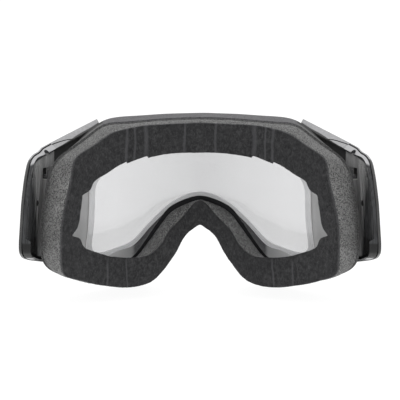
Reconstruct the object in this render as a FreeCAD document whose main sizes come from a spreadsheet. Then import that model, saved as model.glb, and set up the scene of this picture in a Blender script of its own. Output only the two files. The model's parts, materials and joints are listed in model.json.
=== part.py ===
import FreeCAD, Part
import math
import os

# Motorcycle goggles.
# Frame of the part: +Z up, -Y is where the lens looks, +Y is towards the wearer's face,
# +X is the wearer's left.  X = 0 is the plane of symmetry.  The working coordinates below put
# the lens apex at Y = 0; every sub-part is then moved by origin_y / origin_z so that the origin
# is the centre of the whole object's bounding box.

V = FreeCAD.Vector
doc = FreeCAD.newDocument("goggles")

# ---------------------------------------------------------------- driving dimensions
sheet = doc.addObject("Spreadsheet::Sheet", "Sheet")
CELLS = [
    # alias, value (mm or degrees), what it is
    ("origin_y", -33.366, "shift of the lens apex from the origin along Y"),
    ("origin_z", 4.910, "shift along Z"),
    ("lens_axis_y", 100.0, "distance of the vertical lens axis behind the lens apex"),
    ("lens_r_outer", 100.0, "outer radius of the outer lens"),
    ("lens_thick", 1.8, "outer lens thickness"),
    ("inner_lens_r", 94.9, "outer radius of the inner lens"),
    ("inner_lens_thick", 1.0, "inner lens thickness"),
    ("gasket_gap", 0.05, "gap each side of the spacer gasket"),
    ("groove_side_clear", 0.15, "lens groove clearance in front of and behind the lens"),
    ("groove_edge_clear", 0.25, "lens groove clearance at the lens edge"),
    ("groove_grip", 2.2, "how far the lens edge reaches past the frame's inner wall"),
    ("lip_overlap", 0.8, "front lip edge outside the gasket's inner edge"),
    ("lip_thick", 2.25, "front lip thickness"),
    ("wall", 2.2, "frame wall thickness"),
    ("base_y", 20.0, "rear flange depth behind the apex on the centre line"),
    ("base_r", 128.3, "radius of the rear flange's plan curve"),
    ("base_nose", 7.0, "forward dip of the flange over the nose"),
    ("face_y", 40.0, "face surface depth behind the apex on the centre line"),
    ("face_r", 93.0, "radius of the face surface's plan curve"),
    ("face_nose", 14.0, "forward dip of the face surface over the nose"),
    ("plate_thick", 1.6, "rear faceplate thickness along Y"),
    ("seat_gap", 0.1, "gap between stacked layers"),
    ("foam_split_a", 0.45, "share of the foam depth taken by the base layer"),
    ("foam_split_b", 0.86, "share of the foam depth where the fleece starts"),
    ("cover_r", 105.6, "outer radius of the side cover and outrigger"),
    ("cover_thick", 3.0, "side cover thickness"),
    ("arm_bend_r", 30.0, "outer bend radius of the outrigger"),
    ("arm_half_width", 89.0, "outer half width at the outrigger's straight part"),
    ("arm_end_y", 66.0, "rear end of the outrigger"),
    ("arm_off", 1.65, "outrigger body's outer face inside the trim's outer face"),
    ("arm_thick", 1.6, "outrigger body thickness"),
    ("trim_thick", 1.4, "outrigger trim thickness"),
    ("arm_tilt", 0.075, "inward lean of the outrigger per millimetre of height"),
    ("hinge_r", 101.4, "distance of the hinge axis from the lens axis"),
    ("hinge_phi", 50.8, "plan angle of the hinge axis, degrees"),
    ("hinge_turn", 29.15, "plan angle of the bracket's face, degrees"),
    ("knuckle_r", 2.45, "outrigger knuckle radius"),
    ("knuckle_low", -15.5, "bottom of the knuckle"),
    ("knuckle_len", 25.0, "knuckle length"),
    ("pin_r", 1.25, "hinge pin radius"),
    ("pin_bore_r", 1.3, "knuckle bore radius"),
    ("lug_bore_r", 1.27, "bracket lug bore radius"),
    ("lug_r", 2.4, "bracket lug radius"),
    ("lug_thick", 1.2, "bracket lug thickness"),
    ("bracket_thick", 1.05, "bracket back plate thickness"),
    ("bracket_off", 2.95, "bracket back plate's outer face inboard of the hinge axis"),
    ("bracket_width", 8.4, "bracket back plate width"),
    ("bracket_low", -21.0, "bottom of the bracket back plate"),
    ("bracket_len", 36.0, "bracket back plate length"),
    ("washer_r", 2.5, "hinge washer radius"),
    ("washer_bore_r", 1.32, "hinge washer bore radius"),
    ("washer_thick", 0.5, "hinge washer thickness"),
    ("screw_r", 0.9, "bracket screw shank radius"),
    ("screw_head_r", 1.7, "bracket screw head radius"),
    ("screw_head_len", 0.9, "bracket screw head thickness"),
    ("screw_len", 3.4, "bracket screw shank length"),
    ("joint_r", 6.2, "radius of the outrigger's front edge about the hinge axis"),
    ("joint_gap", 0.15, "gap between the outrigger's front edge and the side cover"),
    ("slot_width", 5.0, "strap slot width"),
    ("slot_high", 34.0, "strap slot height"),
    ("slot_mid_y", 59.0, "strap slot centre depth"),
    ("slot_mid_z", -6.5, "strap slot centre height"),
    ("peg_r", 1.5, "snap peg radius"),
    ("post_r", 2.0, "tear-off post radius"),
    ("post_len", 3.0, "tear-off post length"),
    ("post_collar_r", 3.2, "tear-off post collar radius"),
    ("post_collar_len", 0.6, "tear-off post collar thickness"),
    ("post_stem_r", 1.2, "tear-off post stem radius"),
    ("post_stem_len", 2.6, "tear-off post stem length"),
    ("vent_foam_thick", 2.0, "vent foam thickness"),
]
VAL = {}
for i, (alias, value, note) in enumerate(CELLS):
    row = i + 1
    sheet.set("A%d" % row, note)
    sheet.set("B%d" % row, str(value))
    sheet.setAlias("B%d" % row, alias)
doc.recompute()
for alias, value, note in CELLS:
    VAL[alias] = float(sheet.get(alias))


def v(alias):
    return VAL[alias]


# ---------------------------------------------------------------- outlines
# Closed outlines seen along Y, as (x, z) of the wearer's-left half, from the top centre round the
# side and along the bottom to the nose arch.  The other half mirrors them.
#   GASK  inner edge of the spacer gasket (the clear view)
#   WALLF front edge of the frame's inner wall        WALLR its rear edge
#   OUTF  outer edge of the frame at the front        OUTR  outer edge of the rear flange
#   CARR  inner edge of the rear faceplate                PADB  inner edge of the pad where it is glued on
#   FACEI inner edge of the face pad                  FACEO outer edge of the face pad
GASK = [(0.0, 23.1), (10.2, 22.9), (20.5, 22.2), (30.0, 20.9), (38.1, 18.2), (44.1, 15.6), (48.7, 12.4), (52.2, 8.9),
    (54.2, 5.4), (55.0, 2.0), (55.3, -1.4), (55.3, -5.6), (55.5, -9.9), (55.7, -14.6), (56.4, -20.6), (56.9, -24.8),
    (56.9, -28.5), (55.6, -31.0), (52.8, -31.7), (49.5, -31.0), (45.8, -29.9), (41.8, -28.6), (37.6, -26.9),
    (33.9, -23.9), (29.7, -19.3), (25.4, -14.8), (21.3, -10.9), (17.4, -7.5), (13.1, -4.8), (6.7, -1.8), (0.0, -0.7)]
WALLF = [(0.0, 25.0), (10.4, 24.8), (21.1, 24.1), (31.1, 22.7), (39.9, 20.4), (46.3, 17.5), (51.4, 14.1),
    (55.2, 10.7), (57.2, 7.2), (58.0, 3.6), (58.3, -0.6), (58.4, -4.8), (58.6, -9.5), (58.9, -14.8), (59.3, -19.5),
    (59.9, -24.3), (60.2, -28.7), (58.9, -32.4), (55.6, -34.3), (51.0, -34.1), (46.1, -32.1), (41.2, -30.5),
    (36.5, -29.2), (32.9, -26.4), (28.6, -21.5), (24.3, -16.9), (20.2, -12.9), (16.4, -9.5), (12.0, -7.1),
    (6.1, -4.2), (0.0, -3.1)]
WALLR = [(0.0, 28.3), (10.4, 28.1), (21.0, 27.4), (31.8, 26.6), (41.9, 24.8), (49.5, 22.5), (55.5, 19.2),
        (60.0, 15.9), (63.4, 12.0), (65.3, 8.1), (66.3, 3.5), (66.7, -1.1), (66.9, -6.8), (67.2, -13.0),
        (67.5, -19.3), (67.1, -24.6), (65.7, -29.5), (62.4, -33.2), (56.5, -36.1), (50.5, -37.9), (44.2, -35.9),
        (39.1, -34.8), (34.3, -32.3), (30.6, -28.0), (27.0, -22.9), (23.7, -18.1), (20.3, -13.2), (17.0, -9.0),
        (13.1, -6.2), (7.2, -3.8), (0.0, -2.3)]
OUTF = [(0.0, 41.6), (10.4, 41.4), (21.1, 41.1), (32.2, 40.5), (42.0, 40.1), (50.2, 38.6), (57.4, 34.1), (62.8, 29.0),
        (66.6, 24.3), (68.7, 18.8), (69.5, 12.0), (69.6, 3.8), (69.6, -5.0), (69.6, -13.3), (69.6, -21.0), (69.6, -27.3),
        (69.2, -33.7), (67.6, -38.9), (64.4, -42.8), (59.5, -46.2), (52.2, -49.4), (43.2, -51.3), (34.8, -51.0),
        (28.4, -48.8), (22.7, -43.6), (18.1, -36.4), (14.1, -28.9), (10.8, -22.4), (7.3, -17.2), (3.8, -14.0), (0.0, -12.9)]
OUTR = [(0.0, 40.6), (10.2, 40.4), (20.6, 39.9), (31.4, 39.1), (42.2, 38.5), (49.8, 37.4), (57.3, 32.4), (64.6, 27.1),
        (70.9, 22.6), (74.3, 18.5), (76.7, 13.1), (78.5, 5.1), (80.1, -4.0), (80.9, -12.0), (81.1, -19.2), (81.0, -25.4),
        (80.1, -30.9), (76.9, -35.7), (70.7, -39.6), (61.9, -43.2), (52.0, -46.4), (42.8, -48.2), (34.5, -48.2),
        (28.3, -46.2), (22.8, -41.2), (18.3, -34.0), (14.6, -26.7), (11.4, -20.5), (7.7, -15.8), (4.0, -13.3), (0.0, -12.2)]
CARR = [(0.0, 28.6), (10.2, 28.3), (20.6, 27.7), (30.5, 26.5), (39.2, 24.6), (46.3, 22.3), (52.9, 18.9), (58.4, 16.0),
        (62.8, 12.6), (65.8, 8.7), (67.3, 4.2), (68.1, -0.9), (68.9, -7.1), (69.4, -13.2), (69.5, -19.4),
        (69.1, -24.7), (67.2, -29.5), (62.8, -33.1), (56.4, -35.5), (49.9, -36.8), (44.2, -35.3), (39.3, -34.3),
        (34.7, -31.6), (31.2, -27.3), (27.6, -22.3), (24.3, -17.3), (20.9, -12.5), (17.5, -8.2), (13.5, -5.4),
        (7.4, -2.9), (0.0, -1.4)]
PADB = [(0.0, 29.4), (10.2, 29.1), (20.6, 28.5), (30.6, 27.3), (39.4, 25.4), (46.5, 23.1), (53.2, 19.7), (58.8, 16.7),
        (63.3, 13.2), (66.3, 9.3), (67.9, 4.8), (68.8, -0.5), (69.7, -6.9), (70.2, -13.1), (70.3, -19.4),
        (69.9, -24.7), (68.0, -29.6), (63.6, -33.2), (57.2, -35.7), (50.6, -37.2), (43.6, -36.9), (38.5, -35.6),
        (33.7, -33.0), (29.5, -28.7), (25.9, -23.7), (22.5, -18.9), (19.1, -14.2), (15.7, -10.0), (11.6, -7.0),
        (6.4, -5.1), (0.0, -4.1)]
FACEI = [(0.0, 23.5), (9.9, 23.4), (20.1, 22.7), (29.1, 21.1), (36.6, 19.1), (42.5, 16.6), (47.1, 13.8), (51.1, 11.7),
        (53.1, 9.6), (54.4, 6.5), (57.5, 4.6), (58.4, 2.3), (59.4, -5.0), (61.0, -12.3), (63.0, -15.5), (59.7, -17.2),
        (58.0, -21.2), (54.4, -23.8), (49.6, -26.0), (45.3, -27.7), (40.4, -28.7), (35.4, -29.3), (30.4, -29.7),
        (25.9, -29.1), (21.9, -26.7), (18.6, -23.1), (16.0, -18.5), (12.2, -14.7), (8.1, -10.6), (5.0, -6.4),
        (0.0, -2.4)]
FACEO = [(0.0, 38.8), (9.9, 38.4), (20.0, 38.0), (30.0, 37.4), (38.9, 35.7), (45.8, 33.1), (52.0, 28.8), (57.2, 25.7),
         (60.7, 22.8), (61.9, 18.4), (62.6, 12.0), (64.1, 5.3), (65.9, -2.5), (67.2, -11.2), (67.5, -17.1), (67.6, -23.1),
         (67.5, -29.1), (66.5, -34.8), (61.5, -37.7), (55.0, -40.5), (47.8, -42.7), (40.5, -44.2), (33.5, -44.6),
         (27.0, -43.6), (21.4, -40.3), (16.3, -34.4), (11.7, -27.9), (8.6, -22.2), (5.5, -18.8), (2.4, -16.8), (0.0, -15.5)]


def toward(p, q, dist):
    """The outline p moved dist millimetres towards the outline q, station by station."""
    out = []
    for (x1, z1), (x2, z2) in zip(p, q):
        run = math.hypot(x2 - x1, z2 - z1)
        k = dist / run
        out.append((x1 + (x2 - x1) * k, z1 + (z2 - z1) * k))
    return out


def between(p, q, k):
    return [(a[0] + (b[0] - a[0]) * k, a[1] + (b[1] - a[1]) * k) for a, b in zip(p, q)]


def lens_y(radius, x):
    return v("lens_axis_y") - math.sqrt(radius * radius - x * x)


def nose(x, z):
    return math.exp(-(x / 19.0) ** 2) / (1.0 + math.exp((z - 8.0) / 4.0))


def base_y(x, z):
    r = v("base_r")
    return v("base_y") + r - math.sqrt(r * r - x * x) - v("base_nose") * nose(x, z)


def face_y(x, z):
    r = v("face_r")
    return v("face_y") + r - math.sqrt(r * r - x * x) - v("face_nose") * nose(x, z)


def on_lens(outline, radius):
    return [V(x, lens_y(radius, x), z) for x, z in outline]


def on_base(outline, lift=0.0):
    return [V(x, base_y(x, z) + lift, z) for x, z in outline]


def mirror_round(pts):
    """31 points of the left half to the 60 points of the whole closed outline."""
    return list(pts) + [V(-p.x, p.y, p.z) for p in reversed(pts[1:-1])]


def flat_round(outline):
    """The whole outline as 60 (x, z) pairs."""
    return list(outline) + [(-x, z) for x, z in reversed(outline[1:-1])]


# One set of spline parameters serves every ring curve, so the stations of two curves face each other.
_mid = flat_round(between(WALLF, OUTF, 0.5))
PARAMS = [0.0]
for _i in range(len(_mid)):
    _a, _b = _mid[_i], _mid[(_i + 1) % len(_mid)]
    PARAMS.append(PARAMS[-1] + math.hypot(_b[0] - _a[0], _b[1] - _a[1]))


def ring_solid(curves):
    """A closed ring whose section corners run along the given curves, in order round the section."""
    edges = []
    for pts in curves:
        c = Part.BSplineCurve()
        c.interpolate(Points=mirror_round(pts), PeriodicFlag=True, Parameters=PARAMS)
        edges.append(c.toShape())
    faces = [Part.makeRuledSurface(edges[i], edges[(i + 1) % len(edges)]) for i in range(len(edges))]
    return sew(faces)


def strip_solid(sections):
    """A strip whose flat section polygons follow one another, closed at both ends."""
    m = len(sections[0])
    par = [0.0]
    for a, b in zip(sections, sections[1:]):
        par.append(par[-1] + sum((b[j] - a[j]).Length for j in range(m)) / m)
    edges = []
    for j in range(m):
        c = Part.BSplineCurve()
        c.interpolate(Points=[s[j] for s in sections], Parameters=par)
        edges.append(c.toShape())
    faces = [Part.makeRuledSurface(edges[j], edges[(j + 1) % m]) for j in range(m)]
    for s in (sections[0], sections[-1]):
        faces.append(Part.Face(Part.makePolygon(list(s) + [s[0]])))
    return sew(faces)


def sew(faces):
    shell = Part.Compound(faces)
    shell.sewShape(1e-4)
    found = shell.Shells[0]
    solid = Part.Solid(found)
    if solid.Volume < 0:
        solid.reverse()
    return solid


# ---------------------------------------------------------------- helpers for document objects
SUBPARTS = []


def keep(obj, label, turn=None, at=None):
    """Name a sub-part, place it, and bind its shift to the sheet."""
    obj.Label = label
    base = V(0, 0, 0) if at is None else at
    rot = FreeCAD.Rotation() if turn is None else turn
    obj.Placement = FreeCAD.Placement(V(base.x, base.y + v("origin_y"), base.z + v("origin_z")), rot)
    obj.setExpression("Placement.Base.y", "%r + Sheet.origin_y" % base.y)
    obj.setExpression("Placement.Base.z", "%r + Sheet.origin_z" % base.z)
    SUBPARTS.append(obj)
    return obj


def feature(name, shape):
    obj = doc.addObject("Part::Feature", name)
    obj.Shape = shape
    return obj


def plane(body, role):
    return [f for f in body.Origin.OriginFeatures if f.Role == role][0]


def sketch(body, name, role, geometry, offset=0.0):
    s = body.newObject("Sketcher::SketchObject", name)
    s.AttachmentSupport = [(plane(body, role), "")]
    s.MapMode = "FlatFace"
    if offset:
        s.AttachmentOffset = FreeCAD.Placement(V(0, 0, offset), FreeCAD.Rotation())
    for g in geometry:
        s.addGeometry(g, False)
    return s


def rectangle(x0, y0, x1, y1):
    p = [V(x0, y0, 0), V(x1, y0, 0), V(x1, y1, 0), V(x0, y1, 0)]
    return [Part.LineSegment(p[i], p[(i + 1) % 4]) for i in range(4)]


def polygon(points):
    p = [V(a, b, 0) for a, b in points]
    return [Part.LineSegment(p[i], p[(i + 1) % len(p)]) for i in range(len(p))]


def loop(outline):
    """A smooth closed curve through the whole outline, for a sketch on the XZ plane."""
    c = Part.BSplineCurve()
    c.interpolate(Points=[V(x, z, 0) for x, z in flat_round(outline)], PeriodicFlag=True, Parameters=PARAMS)
    return c


def pad(body, name, profile, length, symmetric=False):
    p = body.newObject("PartDesign::Pad", name)
    p.Profile = profile
    if isinstance(length, str):
        p.setExpression("Length", length)
    else:
        p.Length = length
    if symmetric:
        p.SideType = "Symmetric"
    return p


def pocket(body, name, profile, length):
    """A pocket cut to both sides of its sketch."""
    p = body.newObject("PartDesign::Pocket", name)
    p.Profile = profile
    if isinstance(length, str):
        p.setExpression("Length", length)
    else:
        p.Length = length
    p.SideType = "Symmetric"
    return p


def cylinder(name, radius, height, at, direction=V(0, 0, 1)):
    """Part::Cylinder with its sizes bound to the sheet, standing at a point along a direction."""
    c = doc.addObject("Part::Cylinder", name)
    for prop, size in (("Radius", radius), ("Height", height)):
        if isinstance(size, str):
            c.setExpression(prop, size)
        else:
            setattr(c, prop, size)
    c.Placement = FreeCAD.Placement(at, FreeCAD.Rotation(V(0, 0, 1), direction))
    return c


def block(name, lx, ly, lz, at, turn=None):
    b = doc.addObject("Part::Box", name)
    b.Length, b.Width, b.Height = lx, ly, lz
    b.Placement = FreeCAD.Placement(at, FreeCAD.Rotation() if turn is None else turn)
    return b


def fuse(name, items):
    f = doc.addObject("Part::MultiFuse", name)
    f.Shapes = items
    return f


def cut(name, base, tool):
    c = doc.addObject("Part::Cut", name)
    c.Base, c.Tool = base, tool
    return c


def group(name, items):
    g = doc.addObject("Part::Compound", name)
    g.Links = items
    return g


# ---------------------------------------------------------------- derived outlines
LENS = toward(WALLF, OUTF, v("groove_grip"))
GROOVE = toward(LENS, OUTF, v("groove_edge_clear"))
LIP = toward(GASK, WALLF, v("lip_overlap"))
BACKWALL = toward(LENS, OUTF, 2.6)
R_LENS = v("lens_r_outer")
R_GROOVE_F = R_LENS + v("groove_side_clear")
R_GROOVE_R = R_LENS - v("lens_thick") - v("groove_side_clear")
R_FRONT = R_GROOVE_F + v("lip_thick")

# ---------------------------------------------------------------- front frame
# A moulded channel: front lip and lens groove, an inner wall that flares back to the faceplate and
# an outer wall that runs back to the flange.  The channel between the walls is open to the rear.
HX = v("hinge_r") * math.sin(math.radians(v("hinge_phi")))
HY = v("lens_axis_y") - v("hinge_r") * math.cos(math.radians(v("hinge_phi")))
TURN = math.radians(v("hinge_turn"))

frame_ring = feature("FrameRing", ring_solid([
    on_lens(LIP, R_FRONT),
    on_lens(toward(OUTF, GASK, 1.8), R_FRONT),
    on_lens(OUTF, R_FRONT - 1.6),
    on_base(OUTR),
    on_base(toward(OUTR, CARR, v("wall"))),
    on_lens(toward(OUTF, GASK, v("wall")), R_FRONT - v("wall")),
    on_lens(BACKWALL, R_FRONT - v("wall")),
    on_lens(BACKWALL, R_GROOVE_R - v("wall")),
    on_base(toward(WALLR, OUTR, v("wall"))),
    on_base(WALLR),
    on_lens(WALLF, R_GROOVE_R),
    on_lens(GROOVE, R_GROOVE_R),
    on_lens(GROOVE, R_GROOVE_F),
    on_lens(LIP, R_GROOVE_F),
]))


def hinge_point(side, out, back, z):
    """A point given in the hinge's own directions: out from the axis, back along the frame's side."""
    x = HX + out * math.cos(TURN) + back * math.sin(TURN)
    y = HY - out * math.sin(TURN) + back * math.cos(TURN)
    return V(side * x, y, z)


def hinge_dir(side):
    return V(side * math.cos(TURN), -math.sin(TURN), 0)


bosses = []
for side, word in ((1, "Left"), (-1, "Right")):
    corners = [hinge_point(side, o, b, -23.0) for o, b in ((-4.05, -4.6), (-4.05, 4.2), (-7.0, 4.0), (-7.0, -4.6))]
    wire = Part.makePolygon(corners + [corners[0]])
    bosses.append(feature("Boss" + word, Part.Face(wire).extrude(V(0, 0, 40.0))))

vent_cuts = []


def front_slot(name, x, z, wide, high):
    """A vent slot through the frame's front wall, square to it."""
    a = math.asin(x / R_FRONT)
    turn = FreeCAD.Rotation(V(0, 0, 1), math.degrees(a))
    mid = V(x, lens_y(R_FRONT - 1.1, x), z)
    return block(name, wide, 6.0, high, mid - turn.multVec(V(wide / 2, 3.0, high / 2)), turn)


for i, x in enumerate((-40.0, -24.0, -8.0, 8.0, 24.0, 40.0)):
    vent_cuts.append(front_slot("TopVent%d" % i, x, 35.2 - 0.00125 * x * x, 11.0, 4.4))
for i, x in enumerate((-32.0, -16.0, 0.0, 16.0, 32.0)):
    vent_cuts.append(block("InnerVent%d" % i, 10.0, 4.5, 11.0, V(x - 5.0, 9.0 + 0.0055 * x * x, 20.0)))
for side, word in ((1, "Left"), (-1, "Right")):
    for i, (x, z) in enumerate(((39.0, -41.8), (52.0, -40.6))):
        vent_cuts.append(front_slot("LowVent%s%d" % (word, i), side * x, z, 9.0, 4.4))
    for i, z in enumerate((13.2, -19.2)):
        vent_cuts.append(cylinder("ScrewHole%s%d" % (word, i), "Sheet.screw_r + 0.02", 6.0,
                                  hinge_point(side, -7.6, 0.0, z), hinge_dir(side)))


def cover_point(phi, off, z, side=1):
    """A point off millimetres inside the side cover's outer face at a plan angle in degrees."""
    r = v("cover_r") - off
    a = math.radians(phi)
    return V(side * r * math.sin(a), v("lens_axis_y") - r * math.cos(a), z)


def cover_out(phi, side=1):
    a = math.radians(phi)
    return V(side * math.sin(a), -math.cos(a), 0)


PEGS = ((38.7, 15.0), (39.2, -29.5))
# flat seats in the frame's side for the hinge brackets
for side, word in ((1, "Left"), (-1, "Right")):
    corners = [hinge_point(side, o, b, -21.4) for o, b in ((-4.1, -4.5), (-4.1, 4.5), (2.0, 4.5), (2.0, -4.5))]
    vent_cuts.append(feature("BracketSeat" + word, Part.Face(Part.makePolygon(corners + [corners[0]])).extrude(V(0, 0, 36.8))))
for side, word in ((1, "Left"), (-1, "Right")):
    for i, (phi, z) in enumerate(PEGS):
        vent_cuts.append(cylinder("PegHole%s%d" % (word, i), "Sheet.peg_r + 0.05", 6.0,
                                  cover_point(phi, 8.0, z, side), cover_out(phi, side)))
frame_body = fuse("FrameBody", [frame_ring] + bosses)
frame = cut("FrontFrame", frame_body, fuse("FrameCuts", vent_cuts))
keep(frame, "front_frame")

# ---------------------------------------------------------------- rear faceplate (foam carrier)
PLATE_OUT = toward(OUTR, CARR, 0.6)
plate = feature("RearFaceplate", ring_solid([
    on_base(CARR, v("seat_gap")),
    on_base(PLATE_OUT, v("seat_gap")),
    on_base(PLATE_OUT, v("seat_gap") + v("plate_thick")),
    on_base(CARR, v("seat_gap") + v("plate_thick")),
]))
keep(plate, "rear_faceplate")

# ---------------------------------------------------------------- face pad: two foam layers and fleece
def on_plate(outline, lift):
    """Points of an outline slid onto the faceplate's own rulings and lifted along Y."""
    out = []
    for (xa, za), (xb, zb), (x, z) in zip(CARR, PLATE_OUT, outline):
        k = math.hypot(x - xa, z - za) / math.hypot(xb - xa, zb - za)
        ya, yb = base_y(xa, za), base_y(xb, zb)
        out.append(V(xa + (xb - xa) * k, ya + (yb - ya) * k + lift, za + (zb - za) * k))
    return out


LIFT = 2 * v("seat_gap") + v("plate_thick")
PAD_IN = on_plate(PADB, LIFT)
PAD_OUT = on_plate(toward(OUTR, CARR, 1.1), LIFT)


def pad_curve(near, far, k):
    """The pad's side wall at a share k of its depth, from the faceplate to the face."""
    out = []
    for p, (x, z) in zip(near, far):
        out.append(p + (V(x, face_y(x, z), z) - p) * k)
    return out


def pad_layer(k1, k2):
    return ring_solid([pad_curve(PAD_IN, FACEI, k1), pad_curve(PAD_OUT, FACEO, k1),
                       pad_curve(PAD_OUT, FACEO, k2), pad_curve(PAD_IN, FACEI, k2)])


ka, kb = v("foam_split_a"), v("foam_split_b")
keep(feature("FoamBase", pad_layer(0.0, ka)), "face_foam_base")
keep(feature("FoamMid", pad_layer(ka + 0.008, kb)), "face_foam_mid")
keep(feature("Fleece", pad_layer(kb + 0.008, 1.0)), "face_fleece")


# ---------------------------------------------------------------- lenses and spacer gasket
def curved_plate(label, name, outlines, r_out, thick, r_out_expr, thick_expr):
    """A plate bent round the lens axis: its outline is padded along Y and everything outside the
    band between two plan arcs is pocketed away."""
    body = doc.addObject("PartDesign::Body", name)
    prof = sketch(body, name + "Outline", "XZ_Plane", [loop(o) for o in outlines])
    pad(body, name + "Pad", prof, 160.0, symmetric=True)
    doc.recompute()
    cy = v("lens_axis_y")
    a = math.radians(48.0)
    r_in = r_out - thick
    band = [Part.ArcOfCircle(Part.Circle(V(0, cy, 0), V(0, 0, 1), r), -math.pi / 2 - a, -math.pi / 2 + a)
            for r in (r_out, r_in)]
    ends = [Part.LineSegment(V(sg * r_out * math.sin(a), cy - r_out * math.cos(a), 0),
                             V(sg * r_in * math.sin(a), cy - r_in * math.cos(a), 0)) for sg in (-1, 1)]
    sk = sketch(body, name + "Band", "XY_Plane", rectangle(-130, -130, 130, 130) + band + ends)
    n0 = 4
    for idx, expr in ((n0, r_out_expr), (n0 + 1, "%s - %s" % (r_out_expr, thick_expr))):
        c = sk.addConstraint(__import__("Sketcher").Constraint("Radius", idx, r_out if idx == n0 else r_in))
        sk.setExpression("Constraints[%d]" % c, expr)
    before = body.Shape.Volume
    pocket(body, name + "Bend", sk, 200.0)
    doc.recompute()
    assert body.Shape.Volume < 0.2 * before
    return keep(body, label)


curved_plate("outer_lens", "OuterLens", [LENS], R_LENS, v("lens_thick"), "Sheet.lens_r_outer", "Sheet.lens_thick")
INNER = between(GASK, WALLF, 0.76)
curved_plate("inner_lens", "InnerLens", [INNER], v("inner_lens_r"), v("inner_lens_thick"),
             "Sheet.inner_lens_r", "Sheet.inner_lens_thick")
gasket_thick = R_LENS - v("lens_thick") - v("inner_lens_r") - 2 * v("gasket_gap")
curved_plate("lens_spacer_gasket", "SpacerGasket", [INNER, GASK], R_LENS - v("lens_thick") - v("gasket_gap"),
             gasket_thick, "Sheet.lens_r_outer - Sheet.lens_thick - Sheet.gasket_gap",
             "(Sheet.lens_r_outer - Sheet.lens_thick - Sheet.inner_lens_r - 2 * Sheet.gasket_gap)")


# ---------------------------------------------------------------- vent foams
def vent_foam(label, name, first, last, mirrored, side):
    """A foam strip lying against the inside of the frame's front wall, over the vent slots."""
    low, high = toward(LENS, OUTF, 3.3), toward(OUTF, GASK, v("wall") + 0.7)
    r1 = R_FRONT - v("wall") - 0.5
    r2 = r1 - v("vent_foam_thick")
    rows = []
    for i in range(first, last + 1):
        (xa, za), (xb, zb) = low[i], high[i]
        rows.append([V(side * x, lens_y(r, x), z) for x, z, r in ((xa, za, r1), (xb, zb, r1), (xb, zb, r2), (xa, za, r2))])
    if mirrored:
        rows = [[V(-p.x, p.y, p.z) for p in r] for r in reversed(rows[1:])] + rows
    return keep(feature(name, strip_solid(rows)), label)


vent_foam("top_vent_foam", "TopVentFoam", 0, 5, True, 1)
vent_foam("lower_vent_foam_left", "LowVentFoamLeft", 18, 22, False, 1)
vent_foam("lower_vent_foam_right", "LowVentFoamRight", 18, 22, False, -1)


# ---------------------------------------------------------------- side path shared by cover and outrigger
def track(pos):
    """Plan point and outward direction of the outer face.  pos is a plan angle in degrees up to 90,
    then 90 plus millimetres along the straight rear part."""
    rb = v("arm_bend_r")
    sin0 = (v("arm_half_width") - rb) / (v("cover_r") - rb)
    phi0 = math.degrees(math.asin(sin0))
    cx = (v("cover_r") - rb) * sin0
    cy = v("lens_axis_y") - (v("cover_r") - rb) * math.cos(math.radians(phi0))
    a = math.radians(min(pos, 90.0))
    if pos <= phi0:
        return v("cover_r") * math.sin(a), v("lens_axis_y") - v("cover_r") * math.cos(a), math.sin(a), -math.cos(a)
    if pos <= 90.0:
        return cx + rb * math.sin(a), cy - rb * math.cos(a), math.sin(a), -math.cos(a)
    return cx + rb, cy + (pos - 90.0), 1.0, 0.0


def look_up(table, x):
    for (x0, y0), (x1, y1) in zip(table, table[1:]):
        if x <= x1:
            return y0 + (y1 - y0) * (x - x0) / (x1 - x0)
    return table[-1][1]


# Top and bottom edges of the outrigger against depth, and the cover's against half width.
ARM_TOP = [(20.0, 31.6), (30.5, 27.0), (36.0, 24.9), (40.0, 24.0), (45.0, 22.8), (50.0, 20.8), (55.0, 17.8), (60.0, 13.2),
           (63.5, 7.8), (66.0, 1.0)]
ARM_LOW = [(20.0, -37.5), (28.7, -35.2), (34.0, -33.6), (45.0, -30.6), (57.0, -27.3), (62.0, -25.2), (64.5, -22.8), (66.0, -19.0)]


def track_section(pos, corners, side):
    """Section polygon at a track position; corners are (inward offset, from: 't' top or 'b' bottom, dz)."""
    x, y, nx, ny = track(pos)
    top, low = look_up(ARM_TOP, y), look_up(ARM_LOW, y)
    lean = v("arm_tilt") * min(1.0, max(0.0, (pos - 49.0) / 14.0))
    pts = []
    for off, ref, dz in corners:
        z = (top if ref == "t" else low) + dz
        px = x - off * nx - lean * (z + 10.0)
        py = y - off * ny
        pts.append(V(side * px, py, z))
    return pts


# How far the outrigger's top rim and bottom lip reach inward, as shares of their full width.
RIM = [(46.0, 0.7), (49.0, 0.78), (52.0, 0.85), (55.0, 0.62), (59.0, 0.42), (64.0, 0.25), (70.0, 0.14), (76.0, 0.12), (83.0, 0.12)]
LIP_RUN = [(46.0, 0.15), (49.0, 0.3), (53.0, 0.9), (56.0, 1.0)]
ARM_STATIONS = [46.6, 48.3, 50.0, 52.0, 55.0, 59.0, 64.0, 70.0, 76.0, 83.0, 90.0, 93.5, 97.0, 99.5, 101.5, 103.27]
END = v("arm_end_y")


def arm_stations():
    last = 90.0 + END - track(90.0)[1]
    return [p for p in ARM_STATIONS if p < last - 0.8] + [last]


# ---------------------------------------------------------------- side covers
COVER_STATIONS = [29.6, 32.0, 35.0, 38.0, 41.0, 44.0, 47.0, 49.6]


# plan angle and inward offset of the seam line along the cover's top rim
SEAM = [(40.3, 4.9), (40.8, 4.3), (42.0, 3.35), (43.6, 2.6), (45.5, 2.05), (47.5, 1.65), (49.8, 1.52)]


def cover_top(phi):
    return 27.8 + (77.9 - v("cover_r") * math.sin(math.radians(phi))) * 0.487


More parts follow.
